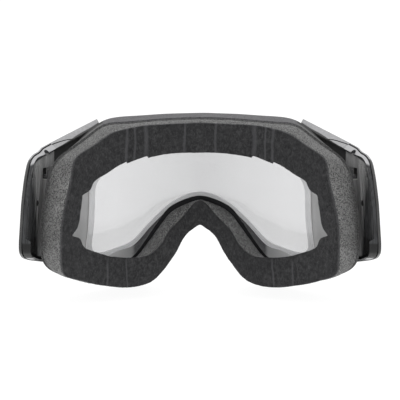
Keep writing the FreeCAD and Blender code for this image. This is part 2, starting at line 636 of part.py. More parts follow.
def cover_section(phi, side):
    r = v("cover_r")
    a = math.radians(phi)
    x = r * math.sin(a)
    top = cover_top(phi)
    low = -35.2 - (77.9 - x) * 0.25
    th = v("cover_thick")
    # the inward rims stay clear of the frame's front face
    k = look_up([(29.0, 0.03), (34.0, 0.05), (37.0, 1.0)], phi)
    n = look_up([(40.8, 0.03), (44.0, 1.0)], phi) if phi > 40.8 else 0.03
    pts = []
    for off, z in ((0.5, top), (0.0, top - 0.6), (0.0, low + 0.8), (0.6, low), (th + 1.6 * n, low + 0.2), (th + 1.4 * n, low + 1.0),
                   (th, low + 1.8), (th, top - 4.0), (th + 1.2 * k, top - 3.8), (th + 1.3 * k, top - 2.9)):
        pts.append(V(side * (r - off) * math.sin(a), v("lens_axis_y") - (r - off) * math.cos(a), z))
    return pts


def joint_tool(name, side):
    """Everything ahead of the hinge that lies further from its axis than the joint radius."""
    a = math.radians(v("hinge_phi"))
    out = V(side * math.sin(a), -math.cos(a), 0)
    fore = V(-side * math.cos(a), -math.sin(a), 0)
    at = V(side * HX, HY, -60.0)
    corners = [at + out * 12.0, at + out * 12.0 + fore * 20.0, at - out * 12.0 + fore * 20.0, at - out * 12.0]
    slab = feature(name + "Fore", Part.Face(Part.makePolygon(corners + [corners[0]])).extrude(V(0, 0, 120.0)))
    return cut(name + "ForeCut", slab, cylinder(name + "Joint", "Sheet.joint_r", 120.0, at))


for side, word, tag in ((1, "Left", "left"), (-1, "Right", "right")):
    shell = feature("CoverShell" + word, strip_solid([cover_section(p, side) for p in COVER_STATIONS]))
    pegs = [cylinder("CoverPeg%s%d" % (word, i), "Sheet.peg_r", 4.8, cover_point(phi, 6.4, z, side), cover_out(phi, side))
            for i, (phi, z) in enumerate(PEGS)]
    # the edge beside the lens is trimmed to a curve that keeps clear of the view
    edge = [(58.5, 44.0), (55.2, 39.9), (53.1, 35.2), (53.6, 28.0), (56.2, 20.5), (59.6, 13.0), (62.2, 5.0), (63.0, -4.0), (63.4, -14.0),
            (64.2, -23.0), (63.6, -30.0), (60.0, -36.5), (55.0, -41.5), (52.0, -46.0)]
    curve = Part.BSplineCurve()
    curve.interpolate(Points=[V(side * x, -20.0, z) for x, z in edge])
    back = Part.makePolygon([V(side * 52.0, -20.0, -46.0), V(side * 30.0, -20.0, -46.0), V(side * 30.0, -20.0, 44.0),
                             V(side * 58.5, -20.0, 44.0)])
    trim_tool = feature("CoverTrim" + word, Part.Face(Part.Wire([curve.toShape()] + back.Edges)).extrude(V(0, 70, 0)))
    post_hole = cylinder("PostHole" + word, "Sheet.post_stem_r + 0.03", 6.0, cover_point(42.6, 5.0, -6.0, side),
                         cover_out(42.6, side))
    # the rear edge follows the outrigger's round front edge, and a seam runs on along the top rim
    round_edge = cylinder("CoverRound" + word, "Sheet.joint_r + Sheet.joint_gap", 120.0, V(side * HX, HY, -60.0))
    seam = []
    for phi, off in SEAM:
        top = cover_top(phi)
        deep = top - max(0.0, off - 0.5) * 0.763 - 1.2
        seam.append([cover_point(phi, o, z, side) for o, z in ((off - 0.25, deep), (off + 0.25, deep), (off + 0.25, top + 1.0),
                                                               (off - 0.25, top + 1.0))])
    seam_cut = feature("CoverSeam" + word, strip_solid(seam))
    body = cut("SideCover" + word, fuse("CoverBody" + word, [shell] + pegs),
               fuse("CoverCuts" + word, [trim_tool, post_hole, round_edge, seam_cut]))
    keep(body, "side_cover_" + tag)

    # tear-off post: collar on the cover's face, stem through it
    post = fuse("TearPost" + word, [
        cylinder("PostPin" + word, "Sheet.post_r", "Sheet.post_len", cover_point(42.6, -0.65, -6.0, side), cover_out(42.6, side)),
        cylinder("PostCollar" + word, "Sheet.post_collar_r", "Sheet.post_collar_len", cover_point(42.6, -0.05, -6.0, side),
                 cover_out(42.6, side)),
        cylinder("PostStem" + word, "Sheet.post_stem_r", "Sheet.post_stem_len + 0.1", cover_point(42.6, 2.5, -6.0, side),
                 cover_out(42.6, side)),
    ])
    keep(post, "tear_off_post_" + tag)

    # ------------------------------------------------------------ hinge bracket, pin, washers, screws
    turn = FreeCAD.Rotation(V(0, 0, 1), -v("hinge_turn") if side > 0 else 180.0 + v("hinge_turn"))
    bracket = doc.addObject("PartDesign::Body", "Bracket" + word)
    bo, bt, bw, lr = v("bracket_off"), v("bracket_thick"), v("bracket_width"), v("lug_r")
    s1 = sketch(bracket, "BracketPlate" + word, "XY_Plane", rectangle(-bo - bt, -bw / 2, -bo, bw / 2), v("bracket_low"))
    pad(bracket, "BracketPlatePad" + word, s1, "Sheet.bracket_len")
    for nm, z0 in (("Upper", 10.1), ("Lower", -17.3)):
        arc = Part.ArcOfCircle(Part.Circle(V(0, 0, 0), V(0, 0, 1), lr), -math.pi / 2, math.pi / 2)
        lines = [Part.LineSegment(V(0, lr, 0), V(-bo - bt / 2, lr, 0)),
                 Part.LineSegment(V(-bo - bt / 2, lr, 0), V(-bo - bt / 2, -lr, 0)),
                 Part.LineSegment(V(-bo - bt / 2, -lr, 0), V(0, -lr, 0))]
        s2 = sketch(bracket, "Lug%s%s" % (nm, word), "XY_Plane", [arc] + lines, z0)
        pad(bracket, "Lug%sPad%s" % (nm, word), s2, "Sheet.lug_thick")
    doc.recompute()
    s3 = sketch(bracket, "LugBore" + word, "XY_Plane", [Part.Circle(V(0, 0, 0), V(0, 0, 1), v("lug_bore_r"))])
    cidx = s3.addConstraint(__import__("Sketcher").Constraint("Radius", 0, v("lug_bore_r")))
    s3.setExpression("Constraints[%d]" % cidx, "Sheet.lug_bore_r")
    vol = bracket.Shape.Volume
    pocket(bracket, "LugBorePocket" + word, s3, 60.0)
    doc.recompute()
    assert bracket.Shape.Volume < vol
    s4 = sketch(bracket, "ScrewBores" + word, "YZ_Plane",
                [Part.Circle(V(0, z, 0), V(0, 0, 1), v("screw_r") + 0.1) for z in (13.2, -19.2)])
    vol = bracket.Shape.Volume
    pocket(bracket, "ScrewBoresPocket" + word, s4, 20.0)
    doc.recompute()
    assert bracket.Shape.Volume < vol
    keep(bracket, "hinge_bracket_" + tag, turn, V(side * HX, HY, 0))

    pin = doc.addObject("PartDesign::Body", "HingePin" + word)
    pr = v("pin_r")
    s5 = sketch(pin, "PinProfile" + word, "XZ_Plane",
                polygon([(0, -18.3), (1.7, -18.3), (1.95, -18.05), (1.95, -17.4), (pr, -17.4), (pr, 11.4), (1.95, 11.4),
                         (1.95, 12.0), (1.6, 12.3), (0, 12.3)]))
    rev = pin.newObject("PartDesign::Revolution", "PinTurn" + word)
    rev.Profile = s5
    rev.ReferenceAxis = (s5, ["V_Axis"])
    rev.Angle = 360.0
    doc.recompute()
    keep(pin, "hinge_pin_" + tag, None, V(side * HX, HY, 0))

    rings = []
    for nm, z0 in (("Upper", 9.55), ("Lower", -16.05)):
        disc = cylinder("Washer%s%s" % (nm, word), "Sheet.washer_r", "Sheet.washer_thick", V(0, 0, z0))
        bore = cylinder("WasherBore%s%s" % (nm, word), "Sheet.washer_bore_r", 4.0, V(0, 0, z0 - 2.0))
        rings.append(cut("WasherRing%s%s" % (nm, word), disc, bore))
    keep(group("Washers" + word, rings), "hinge_washers_" + tag, None, V(side * HX, HY, 0))

    screws = []
    for i, z0 in enumerate((13.2, -19.2)):
        out = -v("bracket_off") + 0.05
        head = cylinder("ScrewHead%s%d" % (word, i), "Sheet.screw_head_r", "Sheet.screw_head_len", V(out, 0, z0), V(1, 0, 0))
        shank = cylinder("ScrewShank%s%d" % (word, i), "Sheet.screw_r", "Sheet.screw_len", V(out - v("screw_len") + 0.2, 0, z0),
                         V(1, 0, 0))
        hexa = doc.addObject("Part::Prism", "ScrewHex%s%d" % (word, i))
        hexa.Polygon, hexa.Circumradius, hexa.Height = 6, 0.85, 1.0
        hexa.Placement = FreeCAD.Placement(V(out + v("screw_head_len") - 0.5, 0, z0), FreeCAD.Rotation(V(0, 0, 1), V(1, 0, 0)))
        screws.append(cut("Screw%s%d" % (word, i), fuse("ScrewSolid%s%d" % (word, i), [head, shank]), hexa))
    keep(group("Screws" + word, screws), "bracket_screws_" + tag, turn, V(side * HX, HY, 0))

    # ------------------------------------------------------------ outrigger
    o1, o2 = v("arm_off"), v("arm_off") + v("arm_thick")
    sections = []
    for pos in arm_stations():
        k, n = look_up(RIM, pos), look_up(LIP_RUN, pos)
        corners = [(o1, "t", -1.0), (o1, "b", 1.0), (o1 + 0.4, "b", 0.3), (o2 + 2.6 * n, "b", 0.3), (o2 + 2.4 * n, "b", 1.1),
                   (o2, "b", 2.3), (o2, "t", -1.9 - 2.7 * k), (o2 + 1.4 * k, "t", -1.7 - 2.6 * k),
                   (o2 + 1.8 * k, "t", -1.2 - 2.3 * k), (o1 + 0.4, "t", -0.7)]
        sections.append(track_section(pos, corners, side))
    arm_shell = feature("ArmShell" + word, strip_solid(sections))
    knuckle = cylinder("Knuckle" + word, "Sheet.knuckle_r", "Sheet.knuckle_len", V(side * HX, HY, v("knuckle_low")))
    knuckle.setExpression("Placement.Base.z", "Sheet.knuckle_low")
    ribs = []
    for i, (pos, width) in enumerate(((66.0, 1.1), (73.0, 1.1), (80.0, 1.1), (86.5, 1.0), (92.5, 0.6), (101.6, 0.6))):
        rib = [(o2 - 0.4, "t", -5.5), (o2 - 0.4, "b", 3.5), (o2 + 0.7, "b", 3.5), (o2 + 0.7, "t", -5.5)]
        ribs.append(feature("ArmRib%s%d" % (word, i),
                            strip_solid([track_section(pos - width, rib, side), track_section(pos + width, rib, side)])))
    knuckle_bore = cylinder("KnuckleBore" + word, "Sheet.pin_bore_r", 60.0, V(side * HX, HY, -30.0))
    windows = [cylinder("LugWindow%s%d" % (word, i), 2.95, 6.0, V(side * HX, HY, z0)) for i, z0 in enumerate((9.5, -21.5))]
    # strap slot with round ends, cut across the straight rear part
    sw, sh = v("slot_width"), v("slot_high")
    sy, sz = v("slot_mid_y"), v("slot_mid_z")
    slot = [block("StrapSlot" + word, 30.0, sw, sh - sw, V(side * 87.0 - 15.0, sy - sw / 2, sz - (sh - sw) / 2))]
    for i, dz in enumerate((-(sh - sw) / 2, (sh - sw) / 2)):
        slot.append(cylinder("SlotEnd%s%d" % (word, i), "Sheet.slot_width / 2", 30.0, V(side * 87.0 - 15.0, sy, sz + dz), V(1, 0, 0)))
    peg_spots = ((84.0, 12.0), (84.0, -22.0), (66.0, -2.0))
    peg_holes, trim_pegs = [], []
    for i, (pos, z) in enumerate(peg_spots):
        x, y, nx, ny = track(pos)
        lean = v("arm_tilt") * min(1.0, max(0.0, (pos - 49.0) / 14.0))
        x -= lean * (z + 10.0)
        outd = V(side * nx, ny, 0)
        at = V(side * (x - 6.0 * nx), y - 6.0 * ny, z)
        peg_holes.append(cylinder("ArmPegHole%s%d" % (word, i), "Sheet.peg_r + 0.05", 6.0, at, outd))
        trim_pegs.append(cylinder("TrimPeg%s%d" % (word, i), "Sheet.peg_r", 2.4,
                                  V(side * (x - 3.0 * nx), y - 3.0 * ny, z), outd))
    arm = cut("Outrigger" + word, fuse("ArmBody" + word, [arm_shell, knuckle] + ribs),
              fuse("ArmCuts" + word, [knuckle_bore] + windows + slot + peg_holes + [joint_tool("Arm" + word, side)]))
    keep(arm, "outrigger_" + tag)

    # ------------------------------------------------------------ outrigger trim
    tt = v("trim_thick")
    tc = [(0.0, "t", -0.7), (0.0, "b", 0.8), (0.5, "b", 0.1), (tt, "b", 0.1), (tt, "t", -0.1), (0.5, "t", 0.0)]
    trim_shell = feature("TrimShell" + word, strip_solid([track_section(p, tc, side) for p in arm_stations()]))
    slot2 = [block("TrimSlot" + word, 30.0, sw + 1.0, sh - sw, V(side * 87.0 - 15.0, sy - sw / 2 - 0.5, sz - (sh - sw) / 2))]
    for i, dz in enumerate((-(sh - sw) / 2, (sh - sw) / 2)):
        slot2.append(cylinder("TrimSlotEnd%s%d" % (word, i), "Sheet.slot_width / 2 + 0.5", 30.0,
                              V(side * 87.0 - 15.0, sy, sz + dz), V(1, 0, 0)))
    trim = cut("OutriggerTrim" + word, fuse("TrimBody" + word, [trim_shell] + trim_pegs), fuse("TrimCuts" + word, slot2 + [joint_tool("Trim" + word, side)]))
    keep(trim, "outrigger_trim_" + tag)

doc.recompute()

# ---------------------------------------------------------------- checks and export
bad = [o.Name for o in doc.Objects if "Invalid" in o.State or "Error" in o.State]
if bad:
    raise SystemExit("failed objects: %s" % bad)
os.makedirs("parts", exist_ok=True)
box = FreeCAD.BoundBox()
names = []
for obj in SUBPARTS:
    shape = obj.Shape
    if shape.isNull() or not shape.isValid() or not shape.Solids:
        raise SystemExit("sub-part %s has no valid solid" % obj.Label)
    names.append(obj.Label)
    box.add(shape.BoundBox)
for old in os.listdir("parts"):
    if old.endswith(".step") and old[:-5] not in names:
        os.remove(os.path.join("parts", old))
for obj in SUBPARTS:
    obj.Shape.exportStep(os.path.join("parts", obj.Label + ".step"))
    print("%-26s solids %d volume %10.1f" % (obj.Label, len(obj.Shape.Solids), obj.Shape.Volume))
print("box x %.3f..%.3f y %.3f..%.3f z %.3f..%.3f" % (box.XMin, box.XMax, box.YMin, box.YMax, box.ZMin, box.ZMax))
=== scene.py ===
"""Motorcycle goggles seen from the wearer's side.

+Z is up, the lens faces -Y, the wearer's face is on the +Y side and the wearer's left is +X.
The CAD frame carries every hard piece; the face pad, the vent foams and the gasket are rebuilt
here as soft goods.  Their outlines are in working millimetres, with the lens apex at Y = 0;
OFFSET_Y and OFFSET_Z move them to the frame's place.  Cameras, lights and shaders use metres.
"""
import json
import math
from functools import reduce

import bmesh
import bpy
import numpy as np
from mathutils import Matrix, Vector, noise


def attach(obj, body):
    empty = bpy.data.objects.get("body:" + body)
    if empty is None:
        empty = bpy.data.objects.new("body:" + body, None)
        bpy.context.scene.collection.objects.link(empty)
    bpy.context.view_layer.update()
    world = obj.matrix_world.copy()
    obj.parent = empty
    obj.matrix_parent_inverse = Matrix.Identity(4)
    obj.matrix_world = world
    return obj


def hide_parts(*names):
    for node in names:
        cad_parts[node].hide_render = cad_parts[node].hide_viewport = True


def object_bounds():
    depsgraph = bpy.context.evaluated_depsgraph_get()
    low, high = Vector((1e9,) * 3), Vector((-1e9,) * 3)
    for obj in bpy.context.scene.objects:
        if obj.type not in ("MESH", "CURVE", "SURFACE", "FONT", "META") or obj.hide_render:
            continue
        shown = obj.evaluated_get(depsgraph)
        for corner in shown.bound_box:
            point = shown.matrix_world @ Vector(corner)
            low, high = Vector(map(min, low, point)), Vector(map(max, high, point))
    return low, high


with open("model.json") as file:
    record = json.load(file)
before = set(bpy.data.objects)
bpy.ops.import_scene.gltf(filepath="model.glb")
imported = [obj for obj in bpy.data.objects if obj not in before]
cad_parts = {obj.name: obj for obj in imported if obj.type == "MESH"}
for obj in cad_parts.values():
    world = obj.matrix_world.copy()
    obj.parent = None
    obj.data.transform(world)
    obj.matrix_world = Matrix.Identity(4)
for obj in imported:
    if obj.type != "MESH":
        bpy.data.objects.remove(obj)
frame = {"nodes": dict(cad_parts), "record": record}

CAD_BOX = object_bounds()
OFFSET_Y, OFFSET_Z = -33.366, 4.910


# ------------------------------------------------------------------ outlines
def whole(left_half):
    """Mirror the 31 stations of the left half into the 60 of the closed outline."""
    left = np.array(left_half, float)
    right = left[1:-1][::-1].copy()
    right[:, 0] *= -1
    return np.vstack([left, right])


# Each table lists (x, z) of the wearer's left half, from the top middle round to the nose.
# Station numbers match between tables.
GASKET_INNER = whole([
    (0.0, 23.1), (10.2, 22.9), (20.5, 22.2), (30.0, 20.9), (38.1, 18.2), (44.1, 15.6), (48.7, 12.4),
    (52.2, 8.9), (54.2, 5.4), (55.0, 2.0), (55.3, -1.4), (55.3, -5.6), (55.5, -9.9), (55.7, -14.6),
    (56.4, -20.6), (56.9, -24.8), (56.9, -28.5), (55.6, -31.0), (52.8, -31.7), (49.5, -31.0),
    (45.8, -29.9), (41.8, -28.6), (37.6, -26.9), (33.9, -23.9), (29.7, -19.3), (25.4, -14.8),
    (21.3, -10.9), (17.4, -7.5), (13.1, -4.8), (6.7, -1.8), (0.0, -0.7)])
# front edge of the wall round the lens opening
WALL_FRONT = whole([
    (0.0, 25.0), (10.4, 24.8), (21.1, 24.1), (31.1, 22.7), (39.9, 20.4), (46.3, 17.5), (51.4, 14.1),
    (55.2, 10.7), (57.2, 7.2), (58.0, 3.6), (58.3, -0.6), (58.4, -4.8), (58.6, -9.5), (58.9, -14.8),
    (59.3, -19.5), (59.9, -24.3), (60.2, -28.7), (58.9, -32.4), (55.6, -34.3), (51.0, -34.1),
    (46.1, -32.1), (41.2, -30.5), (36.5, -29.2), (32.9, -26.4), (28.6, -21.5), (24.3, -16.9),
    (20.2, -12.9), (16.4, -9.5), (12.0, -7.1), (6.1, -4.2), (0.0, -3.1)])
# outer edge of the frame, at the front and at the rear
OUTER_FRONT = whole([
    (0.0, 41.6), (10.4, 41.4), (21.1, 41.1), (32.2, 40.5), (42.0, 40.1), (50.2, 38.6), (57.4, 34.1),
    (62.8, 29.0), (66.6, 24.3), (68.7, 18.8), (69.5, 12.0), (69.6, 3.8), (69.6, -5.0), (69.6, -13.3),
    (69.6, -21.0), (69.6, -27.3), (69.2, -33.7), (67.6, -38.9), (64.4, -42.8), (59.5, -46.2),
    (52.2, -49.4), (43.2, -51.3), (34.8, -51.0), (28.4, -48.8), (22.7, -43.6), (18.1, -36.4),
    (14.1, -28.9), (10.8, -22.4), (7.3, -17.2), (3.8, -14.0), (0.0, -12.9)])
OUTER_REAR = whole([
    (0.0, 40.6), (10.2, 40.4), (20.6, 39.9), (31.4, 39.1), (42.2, 38.5), (49.8, 37.4), (57.3, 32.4),
    (64.6, 27.1), (70.9, 22.6), (74.3, 18.5), (76.7, 13.1), (78.5, 5.1), (80.1, -4.0), (80.9, -12.0),
    (81.1, -19.2), (81.0, -25.4), (80.1, -30.9), (76.9, -35.7), (70.7, -39.6), (61.9, -43.2),
    (52.0, -46.4), (42.8, -48.2), (34.5, -48.2), (28.3, -46.2), (22.8, -41.2), (18.3, -34.0),
    (14.6, -26.7), (11.4, -20.5), (7.7, -15.8), (4.0, -13.3), (0.0, -12.2)])
# inner edge of the faceplate that carries the foam
CARRIER_INNER = whole([
    (0.0, 28.6), (10.2, 28.3), (20.6, 27.7), (30.5, 26.5), (39.2, 24.6), (46.3, 22.3), (52.9, 18.9),
    (58.4, 16.0), (62.8, 12.6), (65.8, 8.7), (67.3, 4.2), (68.1, -0.9), (68.9, -7.1), (69.4, -13.2),
    (69.5, -19.4), (69.1, -24.7), (67.2, -29.5), (62.8, -33.1), (56.4, -35.5), (49.9, -36.8),
    (44.2, -35.3), (39.3, -34.3), (34.7, -31.6), (31.2, -27.3), (27.6, -22.3), (24.3, -17.3),
    (20.9, -12.5), (17.5, -8.2), (13.5, -5.4), (7.4, -2.9), (0.0, -1.4)])
# inner edge of the pad where it sits on the faceplate
PAD_INNER = whole([
    (0.0, 29.4), (10.2, 29.1), (20.6, 28.5), (30.6, 27.3), (39.4, 25.4), (46.5, 23.1), (53.2, 19.7),
    (58.8, 16.7), (63.3, 13.2), (66.3, 9.3), (67.9, 4.8), (68.8, -0.5), (69.7, -6.9), (70.2, -13.1),
    (70.3, -19.4), (69.9, -24.7), (68.0, -29.6), (63.6, -33.2), (57.2, -35.7), (50.6, -37.2),
    (43.6, -36.9), (38.5, -35.6), (33.7, -33.0), (29.5, -28.7), (25.9, -23.7), (22.5, -18.9),
    (19.1, -14.2), (15.7, -10.0), (11.6, -7.0), (6.4, -5.1), (0.0, -4.1)])
# inner and outer edge of the pad against the face
FACE_INNER = whole([
    (0.0, 23.5), (9.9, 23.4), (20.1, 22.7), (29.1, 21.1), (36.6, 19.1), (42.5, 16.6), (47.1, 13.8),
    (51.1, 11.7), (53.1, 9.6), (54.4, 6.5), (57.5, 4.6), (58.4, 2.3), (59.4, -5.0), (61.0, -12.3),
    (63.0, -15.5), (59.7, -17.2), (58.0, -21.2), (54.4, -23.8), (49.6, -26.0), (45.3, -27.7),
    (40.4, -28.7), (35.4, -29.3), (30.4, -29.7), (25.9, -29.1), (21.9, -26.7), (18.6, -23.1),
    (16.0, -18.5), (12.2, -14.7), (8.1, -10.6), (5.0, -6.4), (0.0, -2.4)])
FACE_OUTER = whole([
    (0.0, 38.8), (9.9, 38.4), (20.0, 38.0), (30.0, 37.4), (38.9, 35.7), (45.8, 33.1), (52.0, 28.8),
    (57.2, 25.7), (60.7, 22.8), (61.9, 18.4), (62.6, 12.0), (64.1, 5.3), (65.9, -2.5), (67.2, -11.2),
    (67.5, -17.1), (67.6, -23.1), (67.5, -29.1), (66.5, -34.8), (61.5, -37.7), (55.0, -40.5),
    (47.8, -42.7), (40.5, -44.2), (33.5, -44.6), (27.0, -43.6), (21.4, -40.3), (16.3, -34.4),
    (11.7, -27.9), (8.6, -22.2), (5.5, -18.8), (2.4, -16.8), (0.0, -15.5)])

# Curved surfaces: Y on the middle line, bend radius about Z, forward dip over the nose.
BASE_SURFACE = dict(middle_y=20.0, radius=128.3, nose_dip=7.0)
FACE_SURFACE = dict(middle_y=40.0, radius=93.0, nose_dip=14.0)
LENS_AXIS_Y = 100.0             # the lens cylinders bend about this line
LIFT = 1.8                      # rear faceplate and its seat gaps
SPLIT = 0.86                    # share of the pad's depth where the fleece starts


# ------------------------------------------------------------------ outline tools
def toward(start, end, distance):
    """Stations moved a distance from one outline toward another."""
    way = end - start
    return start + way * (distance / np.linalg.norm(way, axis=1))[:, None]


wall_middle = WALL_FRONT * 0.5 + OUTER_FRONT * 0.5
steps = np.linalg.norm(np.roll(wall_middle, -1, 0) - wall_middle, axis=1)
KNOTS = np.concatenate([[0.0], np.cumsum(steps)])


def spline(values, count):
    """Periodic cubic spline through the 60 stations, sampled at count even parameters."""
    total = len(values)
    spans = np.diff(KNOTS)
    system = np.zeros((total, total))
    target = np.zeros((total, values.shape[1]))
    for i in range(total):
        before, after = (i - 1) % total, (i + 1) % total
        system[i, before] += spans[before]
        system[i, i] += 2 * (spans[before] + spans[i])
        system[i, after] += spans[i]
        target[i] = 6 * ((values[after] - values[i]) / spans[i]
                         - (values[i] - values[before]) / spans[before])
    bend = np.linalg.solve(system, target)
    at = np.linspace(0, KNOTS[-1], count, endpoint=False)
    k = np.clip(np.searchsorted(KNOTS, at, side="right") - 1, 0, total - 1)
    after = (k + 1) % total
    span = spans[k][:, None]
    to_end = (KNOTS[k + 1] - at)[:, None]
    from_start = (at - KNOTS[k])[:, None]
    return ((bend[k] * to_end ** 3 + bend[after] * from_start ** 3) / (6 * span)
            + (values[k] / span - bend[k] * span / 6) * to_end
            + (values[after] / span - bend[after] * span / 6) * from_start)


def surface_y(outline, middle_y, radius, nose_dip):
    """Depth of a curved surface at each station."""
    x, z = outline[:, 0], outline[:, 1]
    nose = np.exp(-(x / 19.0) ** 2) / (1.0 + np.exp((z - 8.0) / 4.0))
    return middle_y + radius - np.sqrt(radius ** 2 - x * x) - nose_dip * nose


def stack(outline, y):
    return np.column_stack([outline[:, 0], y, outline[:, 1]])


def on_lens(outline, radius):
    """Stations laid on a cylinder about the lens axis."""
    x = outline[:, 0]
    return stack(outline, LENS_AXIS_Y - np.sqrt(radius * radius - x * x))


def signed_power(value, power):
    """Flattens a sine or cosine, which squares up a round section."""
    return np.sign(value) * abs(value) ** power


# ------------------------------------------------------------------ mesh tools
def smooth(mesh):
    mesh.polygons.foreach_set("use_smooth", [True] * len(mesh.polygons))


def link_object(name, data):
    ob = bpy.data.objects.new(name, data)
    bpy.context.scene.collection.objects.link(ob)
    return ob


def grid_mesh(name, grid, closed):
    """Tube over grid[u, v] in working mm: v always wraps; u wraps if closed, else is capped."""
    points = grid.copy()
    points[..., 1] += OFFSET_Y
    points[..., 2] += OFFSET_Z
    points *= 0.001
    index = np.arange(grid.shape[0] * grid.shape[1]).reshape(grid.shape[:2])
    here = index if closed else index[:-1]
    ahead = np.roll(index, -1, 0) if closed else index[1:]
    quads = np.stack([here, ahead, np.roll(ahead, -1, 1), np.roll(here, -1, 1)], -1)
    faces = quads.reshape(-1, 4).tolist()
    if not closed:
        faces.append(index[0][::-1].tolist())
        faces.append(index[-1].tolist())
    mesh = bpy.data.meshes.new(name)
    mesh.from_pydata(points.reshape(-1, 3).tolist(), [], faces)
    mesh.validate()
    mesh.update()
    smooth(mesh)
    bm = bmesh.new()
    bm.from_mesh(mesh)
    bmesh.ops.recalc_face_normals(bm, faces=bm.faces)
    bm.to_mesh(mesh)
    bm.free()
    return link_object(name, mesh)


def soft_piece(name, grid, slot, *replaced, closed=True):
    """Build a soft piece and put it in place of the CAD pieces it replaces."""
    ob = grid_mesh(name, grid, closed)
    ob.data.materials.append(SHADERS[slot].material)
    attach(ob, "goggle_frame")
    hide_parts(*replaced)


def normals(grid, closed=True):
    """Surface normals of a point grid."""
    if closed:
        along = np.roll(grid, -1, 0) - np.roll(grid, 1, 0)
    else:
        along = np.gradient(grid, axis=0)
    around = np.roll(grid, -1, 1) - np.roll(grid, 1, 1)
    normal = np.cross(along, around)
    return normal / np.maximum(np.linalg.norm(normal, axis=-1, keepdims=True), 1e-12)


def per_point(function, grid, scale, seed):
    flat = grid.reshape(-1, 3) / scale + seed
    return np.array([function(Vector(p)) for p in flat]).reshape(grid.shape[:-1])


def noise_of(grid, scale, seed):
    """Smooth noise, one value per point; scale in mm."""
    return per_point(noise.noise, grid, scale, seed)


def cells_of(grid, scale, seed=0.0):
    """Distance to the nearest cell centre, for the pores of open-cell foam."""
    def nearest(p):
        return noise.voronoi(p, distance_metric="DISTANCE", exponent=2.5)[0][0]
    return per_point(nearest, grid, scale, seed)


# ------------------------------------------------------------------ camera
CAMERA_DISTANCE = 0.700
CAMERA_ELEVATION = math.radians(7.0)
VIEW_WIDTH = 0.2032             # width seen at the aim point
AIM = Vector((0.0, (45.0 + OFFSET_Y) / 1000, OFFSET_Z / 1000))


def look(place, target):
    return (Vector(target) - Vector(place)).to_track_quat("-Z", "Y").to_euler()


def camera():
    data = bpy.data.cameras.new("Camera")
    data.sensor_width = 36.0
    data.lens = data.sensor_width * CAMERA_DISTANCE / VIEW_WIDTH
    data.clip_start = 0.05
    data.clip_end = 50.0
    ob = link_object("Camera", data)
    aside = Vector((0.0, math.cos(CAMERA_ELEVATION), math.sin(CAMERA_ELEVATION)))
    ob.location = AIM + aside * CAMERA_DISTANCE
    ob.rotation_euler = look(ob.location, AIM)
    bpy.context.scene.camera = ob


camera()


